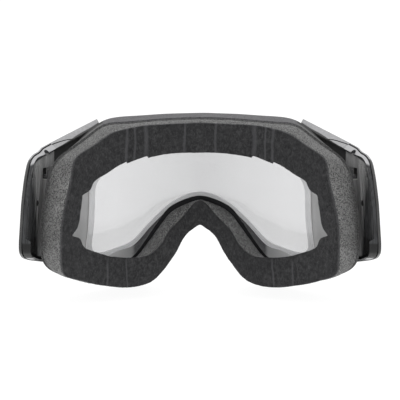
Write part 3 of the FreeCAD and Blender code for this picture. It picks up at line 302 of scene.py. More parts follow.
# ------------------------------------------------------------------ shader builder
class Shader:
    """A node material.  Every texture reads the piece's own coordinates, in metres."""

    def __init__(self, name):
        self.material = bpy.data.materials.new(name)
        self.material.use_nodes = True
        self.tree = self.material.node_tree
        self.tree.nodes.clear()
        self.output = self.add("ShaderNodeOutputMaterial")
        self.surface = self.add("ShaderNodeBsdfPrincipled")
        self.link(self.surface.outputs[0], self.output.inputs[0])
        self.coords = self.add("ShaderNodeTexCoord").outputs["Object"]
        self.geometry = None

    def add(self, kind, **props):
        node = self.tree.nodes.new(kind)
        for key, value in props.items():
            setattr(node, key, value)
        return node

    def link(self, source, socket):
        self.tree.links.new(source, socket)

    def put(self, socket, value):
        """Link a socket, or set a value; a colour may leave out its alpha."""
        if isinstance(value, bpy.types.NodeSocket):
            self.link(value, socket)
        elif isinstance(value, tuple) and len(value) == 3 and len(socket.default_value) == 4:
            socket.default_value = (*value, 1.0)
        else:
            socket.default_value = value

    def set(self, **inputs):
        """Set inputs of the Principled shader."""
        for key, value in inputs.items():
            self.put(self.surface.inputs[key.replace("_", " ")], value)

    def base(self):
        """What drives the base colour so far."""
        return self.surface.inputs["Base Color"].links[0].from_socket

    def stretch(self, x, y, z):
        node = self.add("ShaderNodeMapping")
        node.inputs["Scale"].default_value = (x, y, z)
        self.link(self.coords, node.inputs["Vector"])
        return node.outputs[0]

    def noise(self, scale, detail=3.0, rough=0.55, coords=None, warp=0.0):
        node = self.add("ShaderNodeTexNoise")
        self.link(coords or self.coords, node.inputs["Vector"])
        node.inputs["Scale"].default_value = scale
        node.inputs["Detail"].default_value = detail
        node.inputs["Roughness"].default_value = rough
        node.inputs["Distortion"].default_value = warp
        return node.outputs["Fac"]

    def cells(self, scale):
        node = self.add("ShaderNodeTexVoronoi")
        self.link(self.coords, node.inputs["Vector"])
        node.inputs["Scale"].default_value = scale
        return node.outputs["Distance"]

    def ramp(self, factor, *stops):
        """Colour ramp; each stop is (position, colour)."""
        node = self.add("ShaderNodeValToRGB")
        self.link(factor, node.inputs[0])
        elements = node.color_ramp.elements
        while len(elements) < len(stops):
            elements.new(0.5)
        for element, (position, colour) in zip(elements, stops):
            element.position = position
            element.color = (*colour, 1.0)
        return node.outputs[0]

    def math(self, operation, a, b=None):
        node = self.add("ShaderNodeMath", operation=operation)
        self.put(node.inputs[0], a)
        if b is not None:
            self.put(node.inputs[1], b)
        return node.outputs[0]

    def times(self, a, b):
        return self.math("MULTIPLY", a, b)

    def plus(self, a, b):
        return self.math("ADD", a, b)

    def minus(self, a, b):
        return self.math("SUBTRACT", a, b)

    def most(self, a, b):
        return self.math("MAXIMUM", a, b)

    def mix(self, factor, a, b):
        """Colour a where the factor is 0, colour b where it is 1."""
        node = self.add("ShaderNodeMix", data_type="RGBA", blend_type="MIX")
        self.put(node.inputs["Factor"], factor)
        self.put(node.inputs[6], a)
        self.put(node.inputs[7], b)
        return node.outputs[2]

    def span(self, value, over=(0.3, 0.7), to=(0.0, 1.0)):
        """Map a value from one range to another, clamped; either may run downwards."""
        node = self.add("ShaderNodeMapRange")
        self.put(node.inputs["Value"], value)
        for key, number in zip(("From Min", "From Max", "To Min", "To Max"), (*over, *to)):
            node.inputs[key].default_value = number
        return node.outputs[0]

    def mottle(self, pattern, a, b):
        return self.mix(self.span(pattern), a, b)

    def axis(self, letter, source=None):
        """One coordinate of the shaded point, or of another vector."""
        node = self.add("ShaderNodeSeparateXYZ")
        self.link(source or self.coords, node.inputs[0])
        return node.outputs[letter]

    def aside(self):
        """Distance from the middle plane."""
        return self.math("ABSOLUTE", self.axis("X"))

    def normal(self):
        if self.geometry is None:
            self.geometry = self.add("ShaderNodeNewGeometry")
        return self.geometry.outputs["Normal"]

    def facing(self, letter):
        """One component of the surface normal."""
        return self.axis(letter, self.normal())

    def outward(self, middle_z=-0.004):
        """1 where a face looks away from the middle of the lens opening, seen along Y, else 0."""
        x = self.axis("X")
        z = self.minus(self.axis("Z"), middle_z)
        dot = self.plus(self.times(self.facing("X"), x), self.times(self.facing("Z"), z))
        return self.span(dot, over=(-0.004, 0.004))

    def bump(self, height, strength, distance, normal=None):
        node = self.add("ShaderNodeBump")
        node.inputs["Strength"].default_value = strength
        node.inputs["Distance"].default_value = distance
        self.link(height, node.inputs["Height"])
        if normal is not None:
            self.link(normal, node.inputs["Normal"])
        return node.outputs[0]

    def edge(self, radius):
        """Rounded-edge normal, and a mask that is 1 along the edges, used for wear and for painted
        edge highlights.
        """
        bevel = self.add("ShaderNodeBevel", samples=4)
        bevel.inputs["Radius"].default_value = radius
        dot = self.add("ShaderNodeVectorMath", operation="DOT_PRODUCT")
        self.link(bevel.outputs[0], dot.inputs[0])
        self.link(self.normal(), dot.inputs[1])
        return bevel.outputs[0], self.span(dot.outputs["Value"], over=(0.995, 0.80))


def grey(value):
    return (value, value, value)


# ------------------------------------------------------------------ materials
def plastic(name, dark, light, rough, grain, grain_bump, wear, spec=0.5, coat=0.0):
    """Moulded plastic: cloudy colour variation, fine spark-eroded grain, paler worn edges."""
    def paler(gain, lift):
        return tuple(min(1.0, c * gain + lift) for c in light)

    m = Shader(name)
    cloud = m.noise(scale=38.0, detail=4.0, rough=0.6)
    fleck = m.noise(scale=900.0, detail=2.0, rough=0.5)
    colour = m.ramp(cloud, (0.30, dark), (0.72, light))
    colour = m.mix(m.span(fleck, over=(0.45, 0.75), to=(0.0, 0.22)), colour,
                   paler(gain=1.7, lift=0.01))
    rounded, edge_band = m.edge(radius=0.00035)
    scratches = m.noise(scale=220.0, detail=4.0, rough=0.7)
    scuff = m.times(edge_band, m.span(scratches, over=(0.35, 0.7), to=(0.2, 1.0)))
    colour = m.mix(m.times(scuff, wear), colour, paler(gain=2.2, lift=0.05))
    sheen = m.span(m.noise(scale=160.0, detail=4.0, rough=0.65), to=(rough - 0.06, rough + 0.08))
    pits = m.plus(m.noise(scale=grain, detail=2.0, rough=0.6), m.times(m.cells(grain * 0.6), 0.6))
    m.set(Base_Color=colour, Roughness=m.plus(sheen, m.times(scuff, 0.12)),
          Normal=m.bump(pits, strength=grain_bump, distance=0.00012, normal=rounded),
          Specular_IOR_Level=spec)
    if coat:
        m.set(Coat_Weight=coat, Coat_Roughness=0.12)
    return m


def frame_material():
    """Satin frame: lilac-grey brow, painted light that makes the lens opening paler, and painted
    shade, black, where the outriggers shade it.
    """
    m = plastic("frame_grey", dark=(0.099, 0.097, 0.106), light=(0.130, 0.127, 0.137), rough=0.66,
                grain=2200.0, grain_bump=0.16, wear=0.22, spec=0.10)
    flock = m.ramp(m.cells(scale=1150.0), (0.25, grey(0.048)), (0.68, grey(0.190)))
    base = m.mix(0.45, m.base(), flock)
    outside = m.most(m.outward(), m.span(m.facing("Y"), over=(0.55, 0.80)))
    side = m.span(m.aside(), over=(0.0505, 0.0511))
    cloud = m.noise(scale=60.0, detail=4.0, rough=0.6)
    # painted light: the walls inside the opening are pale, as if lit through the lens; the lower
    # wall is darker toward the nose
    inner = m.mottle(cloud, grey(0.60), grey(0.70))
    high = m.span(m.axis("Z"), over=(-0.002, 0.004))
    low_wall = m.mix(m.span(m.aside(), over=(0.036, 0.050)), grey(0.40), inner)
    inner = m.mix(high, low_wall, inner)
    # painted shade: the side wall is near black where the outriggers shade it
    dark = m.mottle(m.noise(scale=90.0, detail=3.0, rough=0.6), grey(0.034), grey(0.050))
    # lower down, beside the outriggers, the wall is a smooth mid grey
    dark = m.mix(m.span(m.axis("Z"), over=(0.020, 0.014)), dark,
                 m.mottle(cloud, grey(0.115), grey(0.150)))
    # the rear of the side wall, next to the pad, is grey with foam dust
    rearward = m.minus(m.axis("Y"), m.times(m.aside(), 0.66))
    dark = m.mix(m.span(rearward, over=(-0.0462, -0.0436)), dark, m.mix(0.6, grey(0.105), flock))
    # the rear corners beside the hinges are grey again, and a painted highlight marks the flange's
    # rim
    dark = m.mix(m.span(m.aside(), over=(0.0692, 0.0704)), dark,
                 m.mottle(cloud, grey(0.105), grey(0.135)))
    edge_band = m.edge(radius=0.0004)[1]
    rim = m.times(edge_band, m.span(m.aside(), over=(0.071, 0.073), to=(0.0, 0.6)))
    dark = m.mix(rim, dark, grey(0.26))
    # faces into the opening take the painted-light pale colour; outward faces take the base colour,
    # or the painted shade at the sides
    not_front = m.span(m.facing("Y"), over=(-0.35, -0.15))
    m.set(Base_Color=m.mix(outside, inner, m.mix(m.times(side, not_front), base, dark)))
    return m


def plate_material():
    """Black carrier; grey foam flock covers its outer edge, the inner edge stays bare."""
    m = plastic("faceplate_black", dark=(0.010, 0.010, 0.011), light=(0.017, 0.017, 0.019),
                rough=0.60, grain=2600.0, grain_bump=0.15, wear=0.25, spec=0.15)
    flock = m.ramp(m.cells(scale=1300.0), (0.2, grey(0.06)), (0.7, grey(0.17)))
    aside, z = m.aside(), m.axis("Z")
    # straight limits of the flock: top, side, upper corner, lower corner, bottom
    limits = ((z, (0.0375, 0.0385)), (aside, (0.0725, 0.0735)), (m.plus(aside, z), (0.087, 0.089)),
              (m.minus(aside, z), (0.0985, 0.0995)), (z, (-0.0340, -0.0350)))
    ring = reduce(m.most, [m.span(value, over=over) for value, over in limits])
    covered = m.most(m.span(m.outward(), over=(0.6, 0.9)), ring)
    m.set(Base_Color=m.mix(covered, m.base(), flock))
    return m


def cover_material():
    """Pale gloss shell; the side turned to the wearer is the dark backing."""
    m = plastic("cover_gloss", dark=(0.36, 0.36, 0.368), light=(0.43, 0.43, 0.44), rough=0.34,
                grain=3200.0, grain_bump=0.03, wear=0.2, spec=0.25, coat=0.12)
    # how far the face looks out of the shell: out to the side and forward
    sideways = m.times(m.math("SIGN", m.axis("X")), m.facing("X"))
    out = m.minus(m.times(sideways, 0.75), m.times(m.facing("Y"), 0.65))
    top = m.times(m.span(m.facing("Z"), over=(0.30, 0.50)), m.span(m.axis("Y"), over=(0.020, 0.015)))
    pale = m.most(m.span(out, over=(0.05, 0.25)), top)
    # only the outside of the shell, measured from the lens axis, is pale
    y = m.minus(m.axis("Y"), (LENS_AXIS_Y + OFFSET_Y) / 1000)
    radius = m.math("SQRT", m.plus(m.times(m.axis("X"), m.axis("X")), m.times(y, y)))
    pale = m.times(pale, m.span(m.plus(radius, m.times(m.aside(), 0.13)), over=(0.1103, 0.1107)))
    dark = m.mottle(m.noise(scale=80.0, detail=4.0, rough=0.6), grey(0.045), grey(0.068))
    m.set(Base_Color=m.mix(pale, dark, m.base()))
    return m


def outrigger_material():
    """Dark satin moulding; its top rim is the same pale plastic as the trim, a painted highlight
    runs along the bottom lip, and painted light lifts the shaded trough beside the frame.
    """
    m = Shader("outrigger_black")
    cloud = m.noise(scale=45.0, detail=4.0, rough=0.6)
    streak = m.noise(scale=150.0, detail=3.0, rough=0.6, coords=m.stretch(x=8.0, y=8.0, z=0.6))
    dark = m.ramp(cloud, (0.3, (0.038, 0.039, 0.041)), (0.72, (0.058, 0.060, 0.062)))
    dark = m.mix(m.span(streak, over=(0.40, 0.62), to=(0.0, 0.5)), dark, (0.100, 0.103, 0.107))
    dark = m.mix(m.span(streak, over=(0.50, 0.36), to=(0.0, 0.5)), dark, (0.020, 0.020, 0.022))
    rounded, edge_band = m.edge(radius=0.0003)
    up = m.facing("Z")
    # the pale part of the top rim ends along a straight line
    slope = m.plus(m.axis("Z"), m.times(m.axis("Y"), 0.29))
    high = m.times(m.span(slope, over=(0.0287, 0.0293)), m.span(up, over=(0.35, 0.55)))
    # at the foot a painted highlight: only a thin line along the lip's edge is pale
    foot = m.minus(m.axis("Z"), m.times(m.axis("Y"), 0.27))
    low = m.times(m.span(foot, over=(-0.0290, -0.0287)), m.span(foot, over=(-0.0275, -0.0278)))
    low = m.times(low, m.span(up, over=(0.45, 0.2)))
    low = m.times(low, m.span(m.axis("Y"), over=(0.0175, 0.0160)))
    # painted light: the smooth front part beside the frame, shaded in its trough, is lifted to a mid
    # grey
    aside = m.aside()
    trough_light = m.times(m.span(aside, over=(0.0840, 0.0828)), m.span(slope, over=(0.0283, 0.0278)))
    dark = m.mix(trough_light, m.mix(0.25, dark, grey(0.016)),
                 m.mix(m.span(streak, over=(0.36, 0.64)), grey(0.290), grey(0.390)))
    # the low outer part and the foot are near black
    low_outer = m.times(m.span(m.axis("Z"), over=(-0.0140, -0.0148)),
                        m.span(aside, over=(0.0834, 0.0842)))
    dark = m.mix(low_outer, dark, grey(0.020))
    dark = m.mix(m.span(foot, over=(-0.0262, -0.0268)), dark, grey(0.018))
    dark = m.mix(m.times(edge_band, 0.22), dark, (0.20, 0.20, 0.205))
    gloss = m.noise(scale=200.0, detail=4.0, rough=0.6)
    grain = m.noise(scale=2400.0, detail=2.0, rough=0.6)
    # the pale trim on the top rim, and the painted highlight along the lip at the foot
    m.set(Base_Color=m.mix(m.most(high, low), dark, (0.52, 0.52, 0.53)),
          Roughness=m.span(gloss, to=(0.50, 0.64)),
          Normal=m.bump(grain, strength=0.10, distance=0.0001, normal=rounded),
          Specular_IOR_Level=0.16)
    return m


def steel_material():
    """Brushed zinc-plated steel."""
    m = Shader("steel_zinc")
    brush = m.noise(scale=300.0, detail=4.0, rough=0.7, coords=m.stretch(x=1.0, y=1.0, z=14.0))
    blot = m.noise(scale=150.0, detail=4.0, rough=0.6)
    rounded, edge_band = m.edge(radius=0.00015)
    colour = m.mix(m.span(blot, over=(0.35, 0.7)), (0.16, 0.161, 0.165), (0.22, 0.221, 0.225))
    colour = m.mix(m.times(edge_band, 0.5), colour, (0.35, 0.35, 0.36))
    m.set(Base_Color=colour, Metallic=0.60, Roughness=m.span(brush, to=(0.30, 0.48)),
          Normal=m.bump(brush, strength=0.1, distance=0.0001, normal=rounded))
    return m


def washer_material():
    m = Shader("washer_white")
    cloud = m.noise(scale=400.0, detail=3.0, rough=0.6)
    m.set(Base_Color=m.ramp(cloud, (0.3, (0.55, 0.55, 0.53)), (0.7, (0.68, 0.68, 0.65))),
          Roughness=m.span(cloud, to=(0.3, 0.45)),
          Normal=m.bump(m.noise(scale=2500.0), strength=0.08, distance=0.0001))
    return m


def foam_material():
    """Open-cell polyurethane foam: pale cell walls round pores darkened with painted shade, at two
    sizes.
    """
    m = Shader("foam_grey")
    large, small = m.cells(scale=1150.0), m.cells(scale=2100.0)
    wall = m.plus(m.times(large, 0.75), m.times(small, 0.45))
    # painted shade: the pore centres are near black, the cell walls pale
    pore = m.ramp(wall, (0.26, grey(0.014)), (0.50, grey(0.072)), (0.70, (0.238, 0.238, 0.235)))
    cloud = m.span(m.noise(scale=120.0, detail=3.0, rough=0.6), to=(0.72, 1.02))
    # the brow is a little darker
    cloud = m.times(cloud, m.span(m.axis("Z"), over=(0.012, 0.026), to=(1.0, 0.86)))
    shaded = m.add("ShaderNodeVectorMath", operation="SCALE")
    m.link(pore, shaded.inputs[0])
    m.link(cloud, shaded.inputs["Scale"])
    m.set(Base_Color=shaded.outputs[0], Roughness=0.95,
          Normal=m.bump(wall, strength=0.75, distance=0.0005),
          Specular_IOR_Level=0.15, Sheen_Weight=0.15, Sheen_Roughness=0.6)
    return m


def fleece_material():
    """Brushed black fleece: matted pile, soft mottling, a faint sheen at grazing angles."""
    m = Shader("fleece_black")
    mottling = m.noise(scale=420.0, detail=4.0, rough=0.65, warp=0.4)
    broad = m.noise(scale=60.0, detail=3.0, rough=0.55)
    fibre = m.noise(scale=1500.0, detail=3.0, rough=0.7, coords=m.stretch(x=1.0, y=1.0, z=0.45),
                    warp=0.8)
    colour = m.ramp(mottling, (0.30, (0.017, 0.017, 0.018)), (0.52, (0.029, 0.029, 0.030)),
                    (0.74, (0.054, 0.054, 0.055)))
    colour = m.mix(m.span(fibre, over=(0.50, 0.68), to=(0.0, 0.55)), colour, (0.078, 0.078, 0.080))
    colour = m.mix(m.span(broad, over=(0.35, 0.7), to=(0.0, 0.25)), colour, (0.020, 0.020, 0.021))
    # painted highlights, pale upright lines along the creases: distance aside, half width, z range
    # of the fade-in
    brow, cheek = (0.018, 0.021), (-0.024, -0.027)
    creases = ((0.0078, 0.0009, brow), (0.0272, 0.0016, brow), (0.0330, 0.0007, brow),
               (0.0368, 0.0009, brow), (0.0466, 0.0006, cheek), (0.0373, 0.0006, cheek))
    waver = m.span(m.noise(scale=60.0, detail=2.0, rough=0.5), to=(-0.0006, 0.0006))
    aside = m.plus(m.aside(), waver)
    lines = []
    for place, width, fade in creases:
        distance = m.math("ABSOLUTE", m.minus(aside, place))
        lines.append(m.times(m.span(distance, over=(width, width * 0.3)),
                             m.span(m.axis("Z"), over=fade)))
    colour = m.mix(m.times(reduce(m.most, lines), 0.45), colour, (0.095, 0.095, 0.100))
    height = m.plus(m.times(fibre, 0.7), mottling)
    m.set(Base_Color=colour, Roughness=0.96,
          Normal=m.bump(height, strength=0.8, distance=0.0005), Specular_IOR_Level=0.12,
          Sheen_Weight=0.35, Sheen_Roughness=0.45, Sheen_Tint=(0.55, 0.55, 0.57))
    return m


def vent_foam_material():
    m = Shader("vent_foam")
    cell = m.cells(scale=800.0)
    # painted shade: the pore centres are darkest, the cell walls a little paler
    m.set(Base_Color=m.ramp(cell, (0.2, grey(0.006)), (0.55, grey(0.025)), (0.8, grey(0.06))),
          Roughness=0.95, Normal=m.bump(cell, strength=0.8, distance=0.0006))
    return m


def gasket_material():
    """Pale foam, with a little emission, painted light that keeps it bright inside the frame."""
    m = Shader("gasket_grey")
    cell = m.cells(scale=2600.0)
    cloud = m.noise(scale=90.0, detail=3.0, rough=0.6)
    colour = m.mix(m.span(cell, over=(0.2, 0.7), to=(0.0, 0.4)),
                   m.ramp(cloud, (0.3, grey(0.62)), (0.7, grey(0.70))), grey(0.78))
    # the emission is painted light: the gasket glows though it is no lamp
    m.set(Base_Color=colour, Roughness=0.8, Normal=m.bump(cell, strength=0.35, distance=0.0002),
          Emission_Color=colour, Emission_Strength=0.36, Specular_IOR_Level=0.1)
    return m


def lens_material():
    """Clear coated pane with a faint smoke tint; light passes straight through."""
    m = Shader("lens_clear")
    m.tree.nodes.remove(m.surface)
    smear = m.noise(scale=30.0, detail=3.0, rough=0.6)
    tint = m.mix(m.span(m.aside(), over=(0.0, 0.045)), (0.851, 0.851, 0.853), (0.896, 0.896, 0.898))
    tint = m.mix(m.span(smear, to=(0.0, 0.25)), tint, (0.905, 0.905, 0.907))
    clear = m.add("ShaderNodeBsdfTransparent")
    m.link(tint, clear.inputs["Color"])
    shine = m.add("ShaderNodeBsdfGlossy")
    m.put(shine.inputs["Color"], (0.97, 0.98, 1.0))
    haze = m.noise(scale=240.0, detail=3.0, rough=0.6)
    m.link(m.span(haze, to=(0.015, 0.05)), shine.inputs["Roughness"])
    fresnel = m.add("ShaderNodeFresnel")
    fresnel.inputs["IOR"].default_value = 1.42
    mixer = m.add("ShaderNodeMixShader")
    for source, socket in zip((fresnel, clear, shine), mixer.inputs):
        m.link(source.outputs[0], socket)
    m.link(mixer.outputs[0], m.output.inputs[0])
    return m


# by material slot, in the order they are made
SHADERS = {
    "frame_grey": frame_material(),
    "faceplate_black": plate_material(),
    "cover_gloss": cover_material(),
    "post_black": plastic("post_black", dark=grey(0.012), light=grey(0.02), rough=0.3,
                          grain=3000.0, grain_bump=0.05, wear=0.4),
    "outrigger_black": outrigger_material(),
    "steel_zinc": steel_material(),
    "washer_white": washer_material(),
    "foam_grey": foam_material(),
    "fleece_black": fleece_material(),
    "vent_foam": vent_foam_material(),
    "gasket_grey": gasket_material(),
    "lens_clear": lens_material(),
}
slot_of = {part["node"]: part["material_slot"] for part in frame["record"]["subparts"]}
for name, ob in frame["nodes"].items():
    material = SHADERS[slot_of[name]].material
    if not ob.data.materials:
        ob.data.materials.append(material)
    for k in range(len(ob.data.materials)):
        ob.data.materials[k] = material


# ------------------------------------------------------------------ face pad
PAD_STATIONS = 900
PLATE_OUTER = toward(OUTER_REAR, CARRIER_INNER, 0.6)


def on_plate(outline):
    """Stations slid onto the faceplate's own rulings, with the plate's depth."""
    share = (np.linalg.norm(outline - CARRIER_INNER, axis=1)
             / np.linalg.norm(PLATE_OUTER - CARRIER_INNER, axis=1))
    slid = CARRIER_INNER + (PLATE_OUTER - CARRIER_INNER) * share[:, None]
    inner_y = surface_y(CARRIER_INNER, **BASE_SURFACE)
    outer_y = surface_y(PLATE_OUTER, **BASE_SURFACE)
    return stack(slid, inner_y + (outer_y - inner_y) * share + LIFT)


def on_face(outline):
    return stack(outline, surface_y(outline, **FACE_SURFACE))


plate_in = spline(on_plate(PAD_INNER), PAD_STATIONS)
plate_out = spline(on_plate(toward(OUTER_REAR, CARRIER_INNER, 1.1)), PAD_STATIONS)
face_in = spline(on_face(FACE_INNER), PAD_STATIONS)
face_out = spline(on_face(FACE_OUTER), PAD_STATIONS)


def pad_grid(profile):
    """Sweep a section round the pad; returns its points and outward normals.

    profile lists (share from inner to outer wall, share of the depth, swell in mm).
    """
    columns = []
    for share, depth, _ in profile:
        inner = plate_in + (face_in - plate_in) * depth
        outer = plate_out + (face_out - plate_out) * depth
        columns.append(inner + (outer - inner) * share)
    grid = np.stack(columns, 1)
    normal = normals(grid)
    middle = grid.mean(1, keepdims=True)
    sign = np.sign(np.sum(normal * (grid - middle), axis=-1, keepdims=True))
    sign[sign == 0] = 1
    if np.mean(sign) < 0:
        normal = -normal
    swell = np.array([entry[2] for entry in profile])[None, :, None]
    return grid + normal * swell, normal


def face_foam():
    """Foam ring: walls with a soft bulge, pinched at the glue line, plain on the glued faces."""
    rows = 46
    across = np.linspace(0.0, 1.0, 10)[1:-1]

    def wall(share, depths, bulge, pinch):
        return [(share, d, bulge * math.sin(math.pi * d / SPLIT) - pinch * math.exp(-d / 0.03))
                for d in depths]

    profile = wall(1.0, np.linspace(0.0, SPLIT, rows), bulge=0.45, pinch=0.25)
    profile += [(share, SPLIT, 0.0) for share in np.linspace(1.0, 0.0, 10)[1:-1]]
    profile += wall(0.0, np.linspace(SPLIT, 0.0, rows), bulge=0.40, pinch=0.2)
    profile += [(share, 0.0, 0.0) for share in across]
    grid, normal = pad_grid(profile)
    porous = np.zeros(len(profile))
    porous[:rows] = 1.0
    second = rows + len(across)
    porous[second:second + rows] = 1.0
    pores = cells_of(grid, 1.15) * 0.55 + cells_of(grid, 0.62, seed=7.3) * 0.3
    lumps = noise_of(grid, 6.0, seed=3.1)
    relief = (pores - 0.42) * 0.55 + lumps * 0.16
    grid = grid + normal * relief[..., None] * porous[None, :, None]
    soft_piece("face_foam", grid, "foam_grey", "face_foam_base", "face_foam_mid")


face_foam()

# Relief cuts step the brow's lower edge: rise in z against distance from the middle.
CUT_X = [0, 12, 26.4, 26.6, 36.8, 37.0, 44, 90]
CUT_RISE = [0, 0, -0.55, 0.6, -0.55, 0.5, 0, 0]
# Creases on both sides where the layer was bent to shape: x, width, depth, lowest z, highest z.
CREASES = [(7.2, 1.3, 0.55, 22, 40), (26.5, 1.0, 0.75, 20, 40), (36.0, 1.2, 0.70, 18, 40),
           (16.5, 0.8, 0.35, 22, 40), (48.5, 0.9, 0.55, -45, -26), (38.2, 0.9, 0.50, -46, -28)]


def face_fleece():
    """Thin layer with rolled edges, a gentle crown, relief cuts and creases."""
    rows = 52
    roll = 7
    start = SPLIT + 0.006

    def rolled(angle):
        """Inset, depth and swell part-way round a rolled edge."""
        return (0.030 * (1 - math.cos(angle)), start + (1.0 - start) * math.sin(angle) * 0.98,
                0.25 * math.sin(2 * angle))

    profile = []
    for angle in np.linspace(0, math.pi / 2, roll):
        inset, depth, swell = rolled(angle)
        profile.append((1.0 - inset, depth, swell))
    for share in np.linspace(0.965, 0.035, rows):
        profile.append((share, 1.0, 0.35 * math.sin(math.pi * share)))
    profile += [rolled(angle) for angle in np.linspace(math.pi / 2, 0, roll)]
    profile += [(share, start, 0.0) for share in np.linspace(0.04, 0.96, 12)]
    grid, normal = pad_grid(profile)
    exposed = np.zeros(len(profile))
    exposed[:rows + 2 * roll] = 1.0
    crown = np.zeros(len(profile))
    crown[roll:roll + rows] = 1.0
    pile = (noise_of(grid, 0.85, seed=1.7) * 0.10 + noise_of(grid, 2.2, seed=4.4) * 0.10
            + noise_of(grid, 9.0, seed=9.1) * 0.18)
    grid = grid + normal * pile[..., None] * exposed[None, :, None]
    shares = np.array([entry[0] for entry in profile])
    near_inner_edge = np.clip(1.0 - shares / 0.22, 0.0, 1.0)[None, :]
    rise = np.interp(np.abs(grid[..., 0]), CUT_X, CUT_RISE) * (grid[..., 2] > 12)
    grid[..., 2] += rise * near_inner_edge
    for place, width, depth, lowest, highest in CREASES:
        for side in (1, -1):
            x, z = grid[..., 0], grid[..., 2]
            within = (z > lowest - 3) & (z < highest + 3)
            off = x - side * place - 0.6 * np.sin(z * 0.35)
            dip = np.exp(-(off / width) ** 2) * depth * within
            grid = grid - normal * dip[..., None] * crown[None, :, None]
    soft_piece("face_fleece_pad", grid, "fleece_black", "face_fleece")


face_fleece()


# ------------------------------------------------------------------ gasket and vent foams
def spacer_gasket():
    """Squared ring behind the lens, between two cylinders about the lens axis."""
    stations, section = 300, 24
    front_radius, rear_radius = 98.15, 94.95
    inner = spline(GASKET_INNER, stations)
    outer = spline(GASKET_INNER + (WALL_FRONT - GASKET_INNER) * 0.92, stations)
    columns = []
    for k in range(section):
        angle = 2 * math.pi * k / section
        share = 0.5 + 0.5 * signed_power(math.cos(angle), 0.45)
        forward = 0.5 + 0.5 * signed_power(math.sin(angle), 0.45)
        radius = rear_radius + (front_radius - rear_radius) * forward
        columns.append(on_lens(inner + (outer - inner) * share, radius))
    soft_piece("spacer_gasket", np.stack(columns, 1), "gasket_grey", "lens_spacer_gasket")


spacer_gasket()


def vent_strip(name, node, first, last, side):
    """Open-cell strip between two stations; side 0 mirrors it across the middle."""
    section = 28
    middle_radius, half_thickness = 98.7, 0.95
    inner = toward(toward(WALL_FRONT, OUTER_FRONT, 2.2), OUTER_FRONT, 3.35)[first:last + 1]
    outer = toward(OUTER_FRONT, GASKET_INNER, 2.95)[first:last + 1]
    columns = []
    for k in range(section):
        angle = 2 * math.pi * k / section
        share = 0.5 + 0.5 * signed_power(math.cos(angle), 0.4)
        radius = middle_radius + half_thickness * signed_power(math.sin(angle), 0.6)
        columns.append(on_lens(inner + (outer - inner) * share, radius))
    strip = np.stack(columns, 1)
    if side == 0:
        mirror = strip[1:][::-1].copy()
        mirror[..., 0] *= -1
        strip = np.vstack([mirror, strip])
    else:
        strip[..., 0] *= side
    # resample along the strip, 0.3 mm short of each end
    lengths = np.linalg.norm(np.diff(strip.mean(1), axis=0), axis=1)
    along = np.concatenate([[0], np.cumsum(lengths)])
    at = np.linspace(0.3, along[-1] - 0.3, 160 if side == 0 else 60)
    strip = np.stack([np.stack([np.interp(at, along, strip[:, j, c]) for c in range(3)], -1)
                      for j in range(section)], 1)
    normal = normals(strip, closed=False)
    middle = strip.mean(1, keepdims=True)
    if np.mean(np.sum(normal * (strip - middle), -1)) < 0:
        normal = -normal
    strip = strip + normal * ((cells_of(strip, 1.5) - 0.5) * 0.4)[..., None]
    soft_piece(name, strip, "vent_foam", node, closed=False)


vent_strip("vent_foam_top", "top_vent_foam", first=0, last=5, side=0)
vent_strip("vent_foam_low_left", "lower_vent_foam_left", first=18, last=22, side=1)
vent_strip("vent_foam_low_right", "lower_vent_foam_right", first=18, last=22, side=-1)

# ------------------------------------------------------------------ shading of the hard pieces
for ob in frame["nodes"].values():
    smooth(ob.data)
    ob.data.set_sharp_from_angle(angle=math.radians(32))


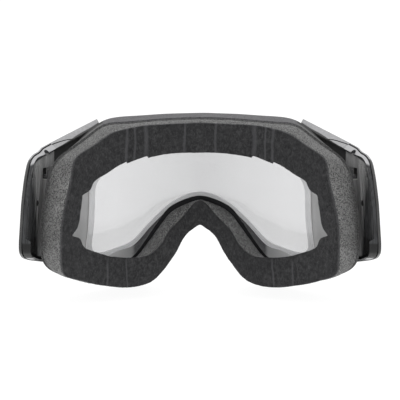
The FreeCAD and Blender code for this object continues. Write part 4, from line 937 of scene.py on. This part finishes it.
# ------------------------------------------------------------------ studio
def floor():
    """Pale floor that sweeps up into a wall on the -Y side."""
    half_width, bend_y, bend_radius, wall_height = 3.0, -0.9, 0.6, 3.0
    bend_steps = 12
    floor_z = CAD_BOX[0][2] - 0.0003
    path = [(y, floor_z) for y in (2.5, 1.2, 0.6, 0.2, -0.2, -0.6, bend_y)]
    for k in range(1, bend_steps + 1):
        angle = math.pi / 2 * k / bend_steps
        path.append((bend_y - bend_radius * math.sin(angle),
                     floor_z + bend_radius * (1 - math.cos(angle))))
    path.append((bend_y - bend_radius, floor_z + wall_height))
    points = [(x, y, z) for y, z in path for x in (-half_width, half_width)]
    faces = [(2 * i - 2, 2 * i - 1, 2 * i + 1, 2 * i) for i in range(1, len(path))]
    mesh = bpy.data.meshes.new("floor")
    mesh.from_pydata(points, [], faces)
    smooth(mesh)
    ob = link_object("floor", mesh)
    m = Shader("floor_pale")
    cloud = m.noise(scale=6.0, detail=3.0, rough=0.5)
    m.set(Base_Color=m.ramp(cloud, (0.3, grey(0.16)), (0.7, grey(0.18))), Roughness=0.9,
          Specular_IOR_Level=0.1, Emission_Color=grey(1.0), Emission_Strength=0.92)
    mesh.materials.append(m.material)


floor()

# area lights: name, place, target, (width, height), power in watts
LIGHTS = [
    ("soft_top", (0.0, 0.15, 0.95), (0, 0, 0), (1.5, 1.2), 3.2),
    ("soft_back", (0.0, 1.3, 0.55), (0, 0, 0), (1.6, 0.9), 2.0),
    ("soft_left", (1.1, 0.3, 0.4), (0, 0, 0), (0.7, 1.0), 0.9),
    ("soft_right", (-1.1, 0.3, 0.4), (0, 0, 0), (0.7, 1.0), 0.9),
    ("backdrop_wash", (0.0, -0.35, 1.3), (0, -1.2, 0.1), (2.4, 0.8), 1.0),
]
for name, place, target, size, power in LIGHTS:
    light = bpy.data.lights.new(name, "AREA")
    light.shape = "RECTANGLE"
    light.size, light.size_y = size
    light.energy = power
    ob = link_object(name, light)
    ob.location = place
    ob.rotation_euler = look(place, target)


def surroundings():
    """White world: brighter when seen directly, softer as light."""
    ambient, seen_extra = 0.70, 0.40
    world = bpy.data.worlds.new("studio")
    bpy.context.scene.world = world
    world.use_nodes = True
    tree = world.node_tree
    background = tree.nodes["Background"]
    background.inputs[0].default_value = (1.0, 1.0, 1.0, 1.0)
    background.inputs[1].default_value = ambient
    ray = tree.nodes.new("ShaderNodeLightPath")
    glow = tree.nodes.new("ShaderNodeMath")
    glow.operation = "MULTIPLY_ADD"
    glow.inputs[1].default_value = seen_extra
    glow.inputs[2].default_value = ambient
    tree.links.new(ray.outputs["Is Camera Ray"], glow.inputs[0])
    tree.links.new(glow.outputs[0], background.inputs[1])


surroundings()
bpy.context.scene.view_settings.view_transform = "Standard"
bpy.context.scene.cycles.transparent_max_bounces = 16
